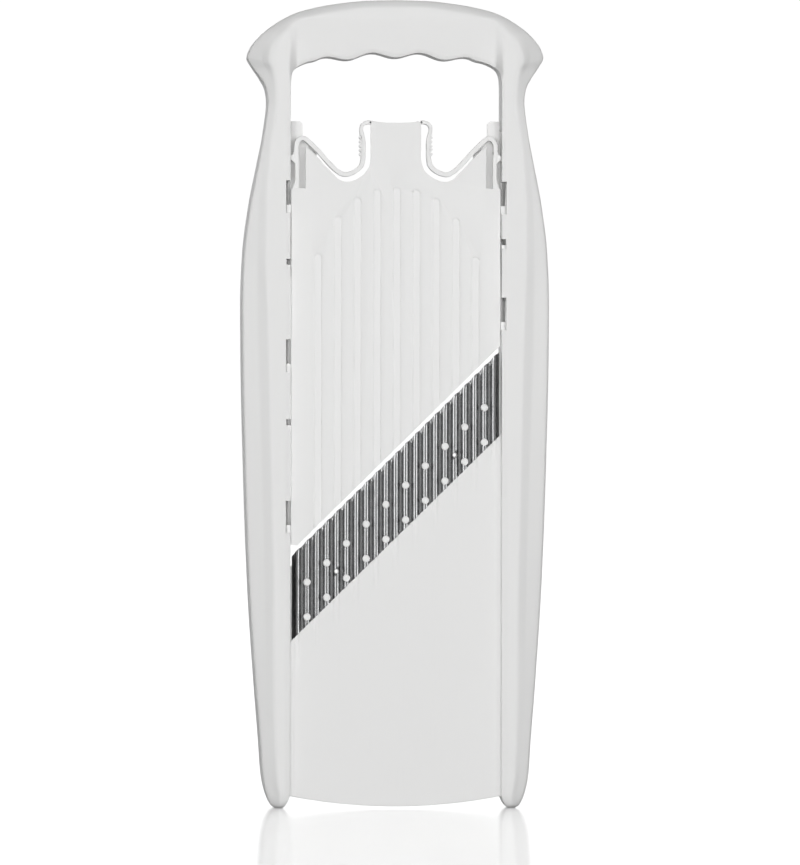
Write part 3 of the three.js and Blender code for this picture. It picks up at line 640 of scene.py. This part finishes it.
def stake_heads_tree():
    sizes = {
        "Count": 10, "Spacing": 0.0089, "Slope": DIAGONAL, "Height": STAKE_ROWS["upper"] * MM,
        "Depth": -0.0127, "Radius": 0.00168, "Crown": 0.00082, "Flatness": 0.62,
    }
    nodes, given, output = growth("stake_heads", sizes)
    ball = nodes.add("GeometryNodeMeshUVSphere", {"Segments": 28, "Rings": 18, "Radius": 1.0})
    spot = nodes.position()
    flat = nodes.math("POWER", nodes.math("ABSOLUTE", spot[1]), given["Flatness"])
    head = placed(
        nodes, ball.outputs["Mesh"],
        nodes.product(spot[0], given["Radius"]),
        nodes.product(flat, nodes.math("SIGN", spot[1]), given["Crown"]),
        nodes.product(spot[2], given["Radius"]),
    )
    first = nodes.row_start(given["Count"], given["Spacing"])
    start = nodes.vector(
        first, given["Depth"], nodes.math("MULTIPLY_ADD", first, given["Slope"], given["Height"])
    )
    step = nodes.vector(given["Spacing"], 0.0, nodes.product(given["Spacing"], given["Slope"]))
    row = nodes.row(given["Count"], start, step)
    heads = nodes.add("GeometryNodeInstanceOnPoints", {"Points": row, "Instance": head})
    nodes.end(heads.outputs[0], given["Material"], output)
    return nodes


def insert_channels_tree():
    """The bodies that are cut out of the insert: their rear faces have the channels' rounded section."""
    sizes = {
        "Count": 9, "Pitch": 0.0089, "Shift": 0.0003, "Width": 0.0042, "Depth": 0.0006, "Slope": DIAGONAL,
        "Foot": (INSERT_FOOT - 1) * MM, "Arch Top": 0.281, "Arch Curve": 12.2, "Arch Steepening": 9500.0,
        "End Slope": 0.0009, "Plate Depth": TABLE_Y * MM, "Skin": 0.00002, "Stand Out": 0.001,
    }
    gentle_wall, steep_wall = 0.28, 0.14  # shares of a channel's width
    nearly_round = 1.998  # keeps the root below from a negative number
    nodes, given, output = growth("insert_channels", sizes)
    mesh, across, up, behind = block(nodes, 23, 46)
    first = nodes.math("ADD", nodes.row_start(given["Count"], given["Pitch"]), given["Shift"])
    row = nodes.row(given["Count"], nodes.vector(first), nodes.vector(given["Pitch"]))
    kept = nodes.add("GeometryNodeCaptureAttribute", {"Geometry": row}, domain="POINT")
    kept.capture_items.new("FLOAT", "Middle")
    nodes.tree.links.new(nodes.position()[0], kept.inputs["Middle"])
    held = nodes.add("GeometryNodeCaptureAttribute", {"Geometry": mesh}, domain="POINT")
    for label, value in (("Across", across), ("Up", up), ("Behind", behind)):
        held.capture_items.new("FLOAT", label)
        nodes.tree.links.new(value, held.inputs[label])
    pieces = {"Points": kept.outputs[0], "Instance": held.outputs[0]}
    bars = nodes.add("GeometryNodeInstanceOnPoints", pieces)
    real = nodes.add("GeometryNodeRealizeInstances", {"Geometry": bars.outputs[0]})
    middle, side = kept.outputs["Middle"], held.outputs["Across"]
    x = nodes.math("MULTIPLY_ADD", side, given["Width"], middle)

    low = nodes.math("MULTIPLY_ADD", x, given["Slope"], given["Foot"])
    square = nodes.product(middle, middle)
    drop = nodes.math("MULTIPLY_ADD", square, given["Arch Steepening"], given["Arch Curve"])
    arch = nodes.math("SUBTRACT", given["Arch Top"], nodes.product(drop, square))
    off_middle = nodes.math("POWER", nodes.product(nodes.math("ABSOLUTE", side), nearly_round), 2.0)
    round_end = nodes.math("SQRT", nodes.math("SUBTRACT", 1.0, off_middle))
    radius = nodes.product(given["Width"], 0.5)
    high = nodes.math("SUBTRACT", arch, nodes.product(radius, nodes.math("SUBTRACT", 1.0, round_end)))
    from_top = nodes.math("POWER", nodes.math("SUBTRACT", 1.0, held.outputs["Up"]), 2.0)
    z = nodes.mix(low, high, nodes.math("SUBTRACT", 1.0, from_top))

    gentle = nodes.ramp(side, -0.5, gentle_wall - 0.5)
    steep = nodes.ramp(side, 0.5 - steep_wall, 0.5, 1.0, 0.0)
    end = nodes.ramp(nodes.math("SUBTRACT", high, z), 0.0, given["End Slope"])
    sunk = nodes.product(gentle, steep, nodes.product(end, given["Depth"]))
    rear = nodes.math("ADD", nodes.math("SUBTRACT", given["Plate Depth"], given["Skin"]), sunk)
    front = nodes.math("SUBTRACT", given["Plate Depth"], given["Stand Out"])
    y = nodes.mix(front, rear, held.outputs["Behind"])
    nodes.end(placed(nodes, real.outputs[0], x, y, z), given["Material"], output)
    return nodes


def run_off_table_tree():
    sizes = {
        "Half Width": 0.0479, "Rise Width": 0.0029, "Rise": 0.00125, "Lip Rounding": 0.0004,
        "Lip Height": 0.0009, "Lip Curve": 2.05, "Front": TABLE_Y * MM, "Plate": PLATE * MM,
        "Slope": DIAGONAL, "Upper": (BLADE_BOTTOM + 0.25) * MM, "Groove Pitch": 0.0089,
        "Groove Width": 0.0032, "Groove Depth": 0.0006, "Groove Length": 0.018,
    }
    pitches = 20.0  # a whole number of pitches, to keep the distance along the grooves positive
    flat_share = 0.25  # of a groove's half width
    nodes, given, output = growth("run_off_table", sizes)
    mesh, across, up, behind = block(nodes, 361, 120)
    x = nodes.product(across, nodes.product(given["Half Width"], 2.0))
    low = nodes.math("MULTIPLY_ADD", nodes.product(x, x), given["Lip Curve"], given["Lip Height"])
    high = nodes.math("MULTIPLY_ADD", x, given["Slope"], given["Upper"])
    z = nodes.mix(low, high, nodes.ramp(up, 0.0, 1.0))
    wall = nodes.math("SUBTRACT", given["Half Width"], nodes.math("ABSOLUTE", x))
    rise = nodes.ramp(wall, 0.0, given["Rise Width"], 1.0, 0.0, kind="LINEAR")
    rise = nodes.product(rise, rise, given["Rise"])
    lip = quarter(nodes, nodes.math("SUBTRACT", z, low), given["Lip Rounding"])
    along = nodes.math("ADD", x, nodes.product(given["Groove Pitch"], pitches))
    wave = nodes.math("PINGPONG", along, nodes.product(given["Groove Pitch"], 0.5))
    half = nodes.product(given["Groove Width"], 0.5)
    strip_share = nodes.ramp(wave, nodes.product(half, flat_share), half, 1.0, 0.0)
    fade = nodes.ramp(nodes.math("SUBTRACT", high, z), 0.0, given["Groove Length"], 1.0, 0.0)
    groove = nodes.product(strip_share, fade, given["Groove Depth"])
    front = nodes.math("SUBTRACT", given["Front"], rise)
    front = nodes.math("ADD", nodes.math("ADD", front, lip), groove)
    back = nodes.math("ADD", given["Front"], given["Plate"])
    y = nodes.mix(front, back, behind)
    nodes.end(placed(nodes, mesh, x, y, z), given["Material"], output)
    return nodes


def grip_serrations_tree():
    sizes = {
        "Count": 5, "Spacing": 0.0019, "Across": GRIP_X * MM, "First": GRIP_Z * MM, "Front": TABLE_Y * MM,
        "Depth": BAND_DEPTH * MM, "Radius": 0.00075,
    }
    nodes, given, output = growth("grip_serrations", sizes)
    bar_sizes = {"Vertices": 20, "Side Segments": 6, "Radius": given["Radius"], "Depth": given["Depth"]}
    bar = nodes.lying_bar(bar_sizes, (0, 0, 0))
    middle = nodes.math("MULTIPLY_ADD", given["Depth"], 0.5, given["Front"])
    start = nodes.vector(given["Across"], middle, given["First"])
    row = nodes.row(given["Count"], start, nodes.vector(0.0, 0.0, given["Spacing"]))
    bars = nodes.add("GeometryNodeInstanceOnPoints", {"Points": row, "Instance": bar})
    nodes.end(bars.outputs[0], given["Material"], output)
    return nodes


# ---------- finishes ----------
def principled(name):
    """A new material: itself, its nodes and its shader."""
    material = bpy.data.materials.new(name)
    material.use_nodes = True
    return material, Nodes(material.node_tree), material.node_tree.nodes["Principled BSDF"]


def moulded_surface():
    """Shader group for moulded plastic: cloudy tone, gloss variation, fine grain and handling scuffs."""
    if "moulded_surface" in bpy.data.node_groups:
        return bpy.data.node_groups["moulded_surface"]
    cloud_scale, line_scale, grain_scale = 28.0, 1900.0, 2600.0
    lengthwise = (1.0, 1.0, 0.03)  # draws the scuffs out along the frame
    scuff_start, scuff_full, scuff_darkening, scuff_dullness = 0.58, 0.72, 0.12, 0.5
    gloss_range = 0.12
    tree = bpy.data.node_groups.new("moulded_surface", "ShaderNodeTree")
    inputs = {"Vector": "Vector", "Base": "Color", "Cloud": "Float", "Gloss": "Float", "Grain": "Float",
              "Scuffs": "Float"}
    for label, kind in inputs.items():
        tree.interface.new_socket(label, in_out="INPUT", socket_type="NodeSocket" + kind)
    outputs = {"Colour": "Color", "Roughness": "Float", "Height": "Float"}
    for label, kind in outputs.items():
        tree.interface.new_socket(label, in_out="OUTPUT", socket_type="NodeSocket" + kind)
    nodes = Nodes(tree)
    given = nodes.add("NodeGroupInput").outputs
    cloud = nodes.add("ShaderNodeTexNoise", {"Vector": given["Vector"], "Scale": cloud_scale, "Detail": 3.0})
    change = nodes.math("SUBTRACT", cloud.outputs[0], 0.5)
    tone = nodes.math("MULTIPLY_ADD", change, given["Cloud"], 1.0)
    drawn = nodes.add("ShaderNodeVectorMath", {0: given["Vector"], 1: lengthwise}, operation="MULTIPLY")
    lines = nodes.add("ShaderNodeTexNoise", {"Vector": drawn.outputs[0], "Scale": line_scale, "Detail": 4.0})
    scuff = nodes.product(nodes.ramp(lines.outputs[0], scuff_start, scuff_full), given["Scuffs"])
    darker = nodes.math("SUBTRACT", tone, nodes.product(scuff, scuff_darkening))
    shade = nodes.add("ShaderNodeVectorMath", {0: given["Base"], "Scale": darker}, operation="SCALE")
    grain = nodes.add("ShaderNodeTexNoise", {"Vector": given["Vector"], "Scale": grain_scale, "Detail": 2.0})
    gloss = nodes.math("MULTIPLY_ADD", change, gloss_range, given["Gloss"])
    gloss = nodes.math("ADD", gloss, nodes.product(scuff, scuff_dullness))
    height = nodes.math("SUBTRACT", nodes.product(grain.outputs[0], given["Grain"]), scuff)
    results = {"Colour": shade.outputs[0], "Roughness": gloss, "Height": height}
    nodes.add("NodeGroupOutput", results)
    return tree


def plastic(name, base, gloss, grain=0.25, scuffs=0.1, cloud=0.02):
    """A white moulded plastic with its own gloss, grain and scuffs."""
    if name in bpy.data.materials:
        return bpy.data.materials[name]
    material, nodes, shader = principled(name)
    place = nodes.add("ShaderNodeTexCoord").outputs["Object"]
    centred = nodes.add("ShaderNodeMapping", {"Vector": place, "Location": (0.0, 0.0, -MIDDLE_Z)})
    surface = nodes.add("ShaderNodeGroup", node_tree=moulded_surface())
    nodes.feed(surface, {
        "Vector": centred.outputs[0], "Base": base, "Cloud": cloud, "Gloss": gloss, "Grain": grain,
        "Scuffs": scuffs,
    })
    relief = {"Height": surface.outputs["Height"], "Distance": 0.00004, "Strength": 0.5}
    bump = nodes.add("ShaderNodeBump", relief)
    nodes.feed(shader, {
        "Base Color": surface.outputs["Colour"], "Roughness": surface.outputs["Roughness"],
        "Normal": bump.outputs[0], "IOR": 1.49, "Specular IOR Level": 0.4,
    })
    return material


def rolled_steel(base):
    """Bright rolled strip: lines along the crests, and painted shade in the valleys, round the holes and on
    the flat ends.
    """
    if "rolled_steel" in bpy.data.materials:
        return bpy.data.materials["rolled_steel"]
    # painted shade: the valleys are coloured darker, standing in for the shade between the crests
    crest_y, valley_y, valley_shade = -0.0123, -0.0106, 0.92
    # painted shade on the flat ends, which lie under the rail edges; the left end is painted darker than the
    # right
    wave_end, flat_start, left_end_shade, right_end_shade = 0.0442, 0.0452, 0.25, 0.7
    # painted shade: a dark ring round each locating hole stands in for the shade at the hole's edge
    hole_edge, hole_shade, hole_ring_shade = 0.0013, 0.0019, 0.3
    material, nodes, shader = principled("rolled_steel")
    place = nodes.add("ShaderNodeTexCoord").outputs["Object"]
    drawn = nodes.add("ShaderNodeMapping", {"Vector": place, "Scale": (1.0, 1.0, 0.02)}).outputs[0]
    lines = nodes.add("ShaderNodeTexNoise", {"Vector": drawn, "Scale": 5200.0, "Detail": 5.0}).outputs[0]
    cloud = nodes.add("ShaderNodeTexNoise", {"Vector": place, "Scale": 160.0, "Detail": 3.0}).outputs[0]
    spot = nodes.coordinates(place)
    across = nodes.math("ABSOLUTE", spot[0])
    right = nodes.math("GREATER_THAN", spot[0], 0.0)
    end_shade = nodes.mix(left_end_shade, right_end_shade, right)
    hole_z = nodes.math("MULTIPLY_ADD", spot[0], DIAGONAL, HOLE_Z * MM)
    beside_hole = nodes.math("SUBTRACT", across, HOLE_X * MM)
    above_hole = nodes.math("SUBTRACT", spot[2], hole_z)
    from_hole = {0: nodes.vector(beside_hole, above_hole)}
    away = nodes.add("ShaderNodeVectorMath", from_hole, operation="LENGTH").outputs["Value"]
    # the tone multiplies painted shade (valleys, flat ends, hole rings) with the strip's own rolling lines
    # and cloud
    tone = nodes.product(
        nodes.mix(1.0, valley_shade, nodes.ramp(spot[1], crest_y, valley_y)),
        nodes.ramp(across, wave_end, flat_start, 1.0, end_shade),
        nodes.ramp(away, hole_edge, hole_shade, hole_ring_shade, 1.0),
        nodes.ramp(lines, *NOISE, 0.82, 1.08, kind="LINEAR"),
        nodes.ramp(cloud, *NOISE, 0.94, 1.04, kind="LINEAR"),
    )
    tinted = nodes.add("ShaderNodeVectorMath", {0: base[:3], "Scale": tone}, operation="SCALE")
    bump = nodes.add("ShaderNodeBump", {"Height": lines, "Distance": 0.00002, "Strength": 0.35})
    nodes.feed(shader, {
        "Base Color": tinted.outputs[0], "Roughness": nodes.ramp(lines, *NOISE, 0.16, 0.30, kind="LINEAR"),
        "Normal": bump.outputs[0], "Metallic": 1.0,
    })
    return material


def frame_plastic(context):
    white = context.scene.slicer_colours.frame_white
    return plastic("frame_plastic", white, 0.40, grain=0.3, scuffs=0.06)


def table_plastic(context):
    white = context.scene.slicer_colours.frame_white
    return plastic("table_plastic", white, 0.30, grain=0.08, cloud=0.01)


def insert_plastic(context):
    white = context.scene.slicer_colours.insert_white
    return plastic("insert_plastic", white, 0.34, grain=0.12, scuffs=0.08, cloud=0.01)


def latch_plastic(context):
    white = context.scene.slicer_colours.insert_white
    return plastic("latch_plastic", white, 0.46, grain=0.35, scuffs=0.05)


def stake_plastic(context):
    white = context.scene.slicer_colours.stake_white
    return plastic("stake_plastic", white, 0.32, grain=0.15)


# ---------- operators ----------
class SLICER_OT_frame_shell(bpy.types.Operator):
    """Builds the two rails and the looped handle as one hollow moulding, and the backs of its openings"""

    bl_idname = "slicer.frame_shell"
    bl_label = "Frame Shell"

    def execute(self, context):
        crease, back_rounding = 38, 0.15
        rings = shell_rings()
        points = [p for points in rings for p in points]
        shell = solid("frame_shell", points, shell_faces(rings), frame_plastic(context))
        cut(shell, rail_cutters(1) + rail_cutters(-1))
        soften(shell.data, crease)
        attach(shell, "frame")
        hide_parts("handle", "left_rail", "right_rail")
        backs = rounded(window_backs(frame_plastic(context)), back_rounding, 2)
        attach(backs, "frame")
        return {"FINISHED"}


class SLICER_OT_run_off_table(bpy.types.Operator):
    """Builds the run-off table with its side fillets, curved lip and fading grooves"""

    bl_idname = "slicer.run_off_table"
    bl_label = "Run-off Table"

    def execute(self, context):
        sizes = {"Groove Depth": context.scene.slicer_shape.groove_depth, "Material": table_plastic(context)}
        table = grow("run_off_table_surface", run_off_table_tree(), sizes)
        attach(table, "frame")
        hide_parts("run_off_table")
        return {"FINISHED"}


class SLICER_OT_blade(bpy.types.Operator):
    """Builds the corrugated steel blade with its ground edge and two locating holes"""

    bl_idname = "slicer.blade"
    bl_label = "Corrugated Blade"

    def execute(self, context):
        shape = context.scene.slicer_shape
        blade = grow("corrugated_blade", corrugated_blade_tree(), {
            "Wave Pitch": shape.wave_pitch, "Wave Height": shape.wave_height,
            "Thickness": shape.blade_thickness, "Ground Edge": shape.ground_edge,
            "Material": rolled_steel(context.scene.slicer_colours.steel),
        })
        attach(blade, "frame")
        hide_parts("cutting_blade")
        return {"FINISHED"}


class SLICER_OT_stakes(bpy.types.Operator):
    """Sets two rows of heat-formed heads on the blade"""

    bl_idname = "slicer.stakes"
    bl_label = "Blade Stakes"

    def execute(self, context):
        shape = context.scene.slicer_shape
        for row, height in STAKE_ROWS.items():
            heads = grow("stake_heads_" + row, stake_heads_tree(), {
                "Spacing": 2 * shape.wave_pitch, "Height": height * MM, "Radius": shape.stake_radius,
                "Material": stake_plastic(context),
            })
            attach(heads, "frame")
            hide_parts(*(f"blade_stake_{row}_{i}" for i in range(1, 11)))
        return {"FINISHED"}


INSERT_VALLEY = (
    (40.8, 299.2), (36.7, 295.5), (31.4, 289.6), (28.3, 286.5), (26, 284.3), (23.4, 283.2), (20.4, 283.2),
    (17.2, 284.6), (14.4, 286.6), (12.4, 289.2), (TONGUE_X, 293), (TONGUE_X, 300),
)
INSERT_TONGUE = (
    (TONGUE_X, 308.6), (TONGUE_X + 0.5, 308.9), (TONGUE_X + 0.5, 310.4), (TONGUE_X - 0.4, 310.6), (8, 310.1),
    (4, 309.8), (0, 309.7),
)
INSERT_SHOULDER = ((INSERT_X, 280), (40.8, 280))
INSERT_CORNER = (44.6, 119)  # where the slanted foot turns level, near the left edge


def insert_outline():
    """The insert's outline: slanted foot, shoulders, two valleys and the tongue between them."""
    corner_x, corner_z = INSERT_CORNER
    curve = [tuple(p) for p in smooth_path(INSERT_VALLEY, 5)]
    right = [*INSERT_SHOULDER, *curve, *INSERT_TONGUE]
    left = [(-x, z) for x, z in reversed(right[:-1])]
    foot = [
        (-INSERT_X, corner_z), (-corner_x, corner_z), (-corner_x, INSERT_FOOT - corner_x * DIAGONAL),
        (INSERT_X, INSERT_X * DIAGONAL + INSERT_FOOT),
    ]
    return foot + right + left


class SLICER_OT_insert(bpy.types.Operator):
    """Builds the insert's plate with its tongue and the channels in its face"""

    bl_idname = "slicer.insert"
    bl_label = "Insert"

    def execute(self, context):
        edge_rounding, crease = 0.35, 50
        shape = context.scene.slicer_shape
        material = insert_plastic(context)
        plate = prism("insert_body", insert_outline(), "xz", TABLE_Y, TABLE_Y + PLATE, material)
        rounded(plate, edge_rounding)
        channels = grow("insert_channels", insert_channels_tree(), {
            "Pitch": 2 * shape.wave_pitch, "Width": shape.channel_width, "Depth": shape.channel_depth,
            "Material": material,
        })
        cut(plate, [channels])
        soften(plate.data, crease)
        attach(plate, "insert")
        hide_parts("insert_plate")
        return {"FINISHED"}


BAND_PATH = (
    (45.2, 293.6), (45.1, 296.5), (45.0, 299.2), (44.4, 301.3), (42.8, 302.6), (40.6, 302.1), (35.2, 297),
    (30, 291.1), (26.5, 287.9), (23.5, 286.4), (20.6, 286.8), (17.6, 288.3), (15.6, 290.4), (14.9, 293.3),
    (14.8, 297), (14.8, 300.8), (15.3, 304.2), (15.7, 306.4), (15.4, 308.3), (14.3, 309.5), (12.9, 309.9),
    (11.2, 309.9),
)
ARM_OUTLINE = (
    (43.7, 279.2), (46.9, 279.2), (46.6, 280.8), (45.9, 282.6), (45.6, 284.4), (45.6, 291.2), (46.6, 292.3),
    (INNER_X + 0.4, 293), (INNER_X + 0.4, 294.4), (46.6, 295.4), (45.8, 297.4), (44.3, 297.4), (43.8, 294),
    (43.7, 290),
)


def strip(name, path, side, widths, front, depth, material):
    """A flat strip bent along a path in the xz plane, with rounded edges and closed ends."""
    edge, turns, step, sharp = 0.35, 4, 30, 35  # radius, points and degrees of an edge; angle of a crease
    points = []
    for i, p in enumerate(path):
        before, after = path[max(i - 1, 0)], path[min(i + 1, len(path) - 1)]
        along = (after - before).normalized()
        normal = Vector((-along.y, along.x))
        half = widths(i / (len(path) - 1)) / 2
        rear = front + depth
        corners = ((half, front, -90), (half, rear, 0), (-half, rear, 90), (-half, front, 180))
        for across, y, start in corners:
            cx = across - math.copysign(edge, across)
            cy = y + (edge if y == front else -edge)
            for k in range(turns):
                angle = math.radians(start + step * k)
                q = p + normal * (cx + edge * math.cos(angle))
                points.append((side * q.x, cy + edge * math.sin(angle), q.y))
    count = 4 * turns
    last = len(points) - count
    faces = tube_faces(len(path), count)
    faces += [tuple(range(count)), tuple(range(last, last + count))]
    return solid(name, points, faces, material, sharp)


def band_width(t):
    """Width of the spring band, a little less on the last stretch behind the finger grip."""
    wide, narrowing, start, stretch = 2.1, 0.5, 0.72, 0.1
    return wide - narrowing * smoothstep((t - start) / stretch)


class SLICER_OT_latches(bpy.types.Operator):
    """Builds the two spring latches: arm and tooth, bent band, finger grip"""

    bl_idname = "slicer.latches"
    bl_label = "Spring Latches"

    def execute(self, context):
        band_steps, arm_front, arm_rounding = 6, TABLE_Y + 0.05, 0.25
        material = latch_plastic(context)
        serrations = grip_serrations_tree()
        path = smooth_path(BAND_PATH, band_steps)
        for side, word in ((1, "right"), (-1, "left")):
            band = strip(word + "_band", path, side, band_width, TABLE_Y, BAND_DEPTH, material)
            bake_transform(band)
            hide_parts(word + "_spring_band")
            outline = [(side * x, z) for x, z in ARM_OUTLINE]
            arm = prism(word + "_arm", outline, "xz", arm_front, TABLE_Y + PLATE, material)
            rounded(arm, arm_rounding, 2)
            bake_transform(arm)
            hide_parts(word + "_latch_arm")
            across = side * GRIP_X * MM
            teeth = grow(word + "_serrations", serrations, {"Across": across, "Material": material})
            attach(teeth, word + "_latch")
            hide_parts(word + "_finger_grip")
        return {"FINISHED"}


class SLICER_OT_finishes(bpy.types.Operator):
    """Gives the carried-over solids their finishes"""

    bl_idname = "slicer.finishes"
    bl_label = "Finishes"

    def execute(self, context):
        for name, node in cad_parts.items():
            if node.hide_render:
                continue
            material = insert_plastic(context) if name.startswith("insert") else frame_plastic(context)
            node.data.materials.clear()
            node.data.materials.append(material)
        return {"FINISHED"}


class SLICER_OT_stage(bpy.types.Operator):
    """Sets up the pale floor, the soft studio light and the camera"""

    bl_idname = "slicer.stage"
    bl_label = "Studio"

    def execute(self, context):
        studio = context.scene.slicer_studio
        self.floor(context.scene.slicer_colours.floor)
        context.scene.world = self.surround(studio)
        self.softbox("key_softbox", (-0.05, -3.3, 0.37), (1.8, 0.7), studio.softbox)
        self.softbox("right_softbox", (2.6, -1.5, 0.5), (1.2, 1.8), studio.side)
        for side, word in ((1, "right"), (-1, "left")):
            panel = self.softbox(word + "_panel", (side * 2.4, -1.0, 0.4), (2.0, 3.0), studio.panel)
            panel.visible_glossy = True
            panel.visible_diffuse = False
        context.scene.view_settings.view_transform = "Standard"
        context.scene.camera = self.camera(studio)
        return {"FINISHED"}

    def floor(self, grey):
        """A glossy floor that only the camera sees glow."""
        glow = 0.34
        floor = link("studio_floor", bpy.data.meshes.new("studio_floor"))
        floor.data.from_pydata([(-6, -5, 0), (6, -5, 0), (6, 9, 0), (-6, 9, 0)], [], [(0, 1, 2, 3)])
        material, nodes, shader = principled("studio_floor")
        place = nodes.add("ShaderNodeTexCoord").outputs["Object"]
        cloud = nodes.add("ShaderNodeTexNoise", {"Vector": place, "Scale": 3.0, "Detail": 2.0}).outputs[0]
        tone = nodes.ramp(cloud, *NOISE, 0.99, 1.0)
        shade = nodes.add("ShaderNodeVectorMath", {0: grey[:3], "Scale": tone}, operation="SCALE")
        seen = nodes.add("ShaderNodeLightPath").outputs["Is Camera Ray"]
        nodes.feed(shader, {
            "Base Color": shade.outputs[0], "Roughness": 0.12, "Specular IOR Level": 0.25,
            "Emission Color": (1, 1, 1, 1), "Emission Strength": nodes.product(seen, glow),
        })
        floor.data.materials.append(material)

    def surround(self, studio):
        """A white surround: dim in front, bright behind, with its own strength in what is glossy."""
        white, start, shining_end, mirrored_end = 1.02, 0.1, 0.5, 0.6
        world = bpy.data.worlds.new("studio_dome")
        world.use_nodes = True
        air = Nodes(world.node_tree)
        path = air.add("ShaderNodeLightPath").outputs
        way = air.coordinates(air.add("ShaderNodeTexCoord").outputs["Generated"])
        mirrored = air.ramp(way[1], start, mirrored_end, studio.mirrored, white)
        shining = air.ramp(way[1], start, shining_end, studio.dome, studio.backlight)
        strength = air.mix(shining, mirrored, path["Is Glossy Ray"])
        strength = air.mix(strength, white, path["Is Camera Ray"])
        air.feed(world.node_tree.nodes["Background"], {"Color": (1, 1, 1, 1), "Strength": strength})
        return world

    def softbox(self, name, place, size, power):
        aim = Vector((0, 0, MIDDLE_Z))
        light = bpy.data.lights.new(name, "AREA")
        light.shape = "RECTANGLE"
        light.size, light.size_y = size
        light.energy = power
        box = bpy.data.objects.new(name, light)
        bpy.context.scene.collection.objects.link(box)
        box.location = place
        box.rotation_mode = "QUATERNION"
        box.rotation_quaternion = (aim - Vector(place)).to_track_quat("-Z", "Y")
        box.visible_glossy = box.visible_camera = False
        return box

    def camera(self, studio):
        target = Vector((0.0022, -0.006, 0.1698))
        camera = bpy.data.objects.new("camera", bpy.data.cameras.new("camera"))
        bpy.context.scene.collection.objects.link(camera)
        camera.data.lens = studio.lens
        camera.data.clip_start = 0.1
        back = Vector((math.sin(studio.azimuth), -math.cos(studio.azimuth), 0.0))
        camera.location = target + back * studio.distance
        camera.rotation_mode = "QUATERNION"
        lean = Quaternion((0, 0, 1), studio.roll)
        camera.rotation_quaternion = (-back).to_track_quat("-Z", "Y") @ lean
        return camera


class SLICER_PT_panel(bpy.types.Panel):
    """Lists the slicer's pieces in the order they are built"""

    bl_idname = "SLICER_PT_panel"
    bl_label = "Waffle Slicer"
    bl_space_type = "VIEW_3D"
    bl_region_type = "UI"
    bl_category = "Slicer"

    def draw(self, context):
        for group in SETTINGS:
            settings = getattr(context.scene, group)
            box = self.layout.box()
            for name in settings.__annotations__:
                box.prop(settings, name)
        for operator in OPERATORS:
            self.layout.operator(operator.bl_idname)


OPERATORS = (
    SLICER_OT_frame_shell, SLICER_OT_run_off_table, SLICER_OT_blade, SLICER_OT_stakes, SLICER_OT_insert,
    SLICER_OT_latches, SLICER_OT_finishes, SLICER_OT_stage,
)
SETTINGS = {"slicer_shape": SlicerShape, "slicer_colours": SlicerColours, "slicer_studio": SlicerStudio}


def register():
    for cls in (*SETTINGS.values(), *OPERATORS, SLICER_PT_panel):
        bpy.utils.register_class(cls)
    for name, group in SETTINGS.items():
        setattr(bpy.types.Scene, name, bpy.props.PointerProperty(type=group))


def unregister():
    for name in SETTINGS:
        delattr(bpy.types.Scene, name)
    for cls in (SLICER_PT_panel, *reversed(OPERATORS), *reversed(SETTINGS.values())):
        bpy.utils.unregister_class(cls)


def main():
    register()
    for operator in OPERATORS:
        family, name = operator.bl_idname.split(".")
        getattr(getattr(bpy.ops, family), name)()


if __name__ == "__main__":
    main()
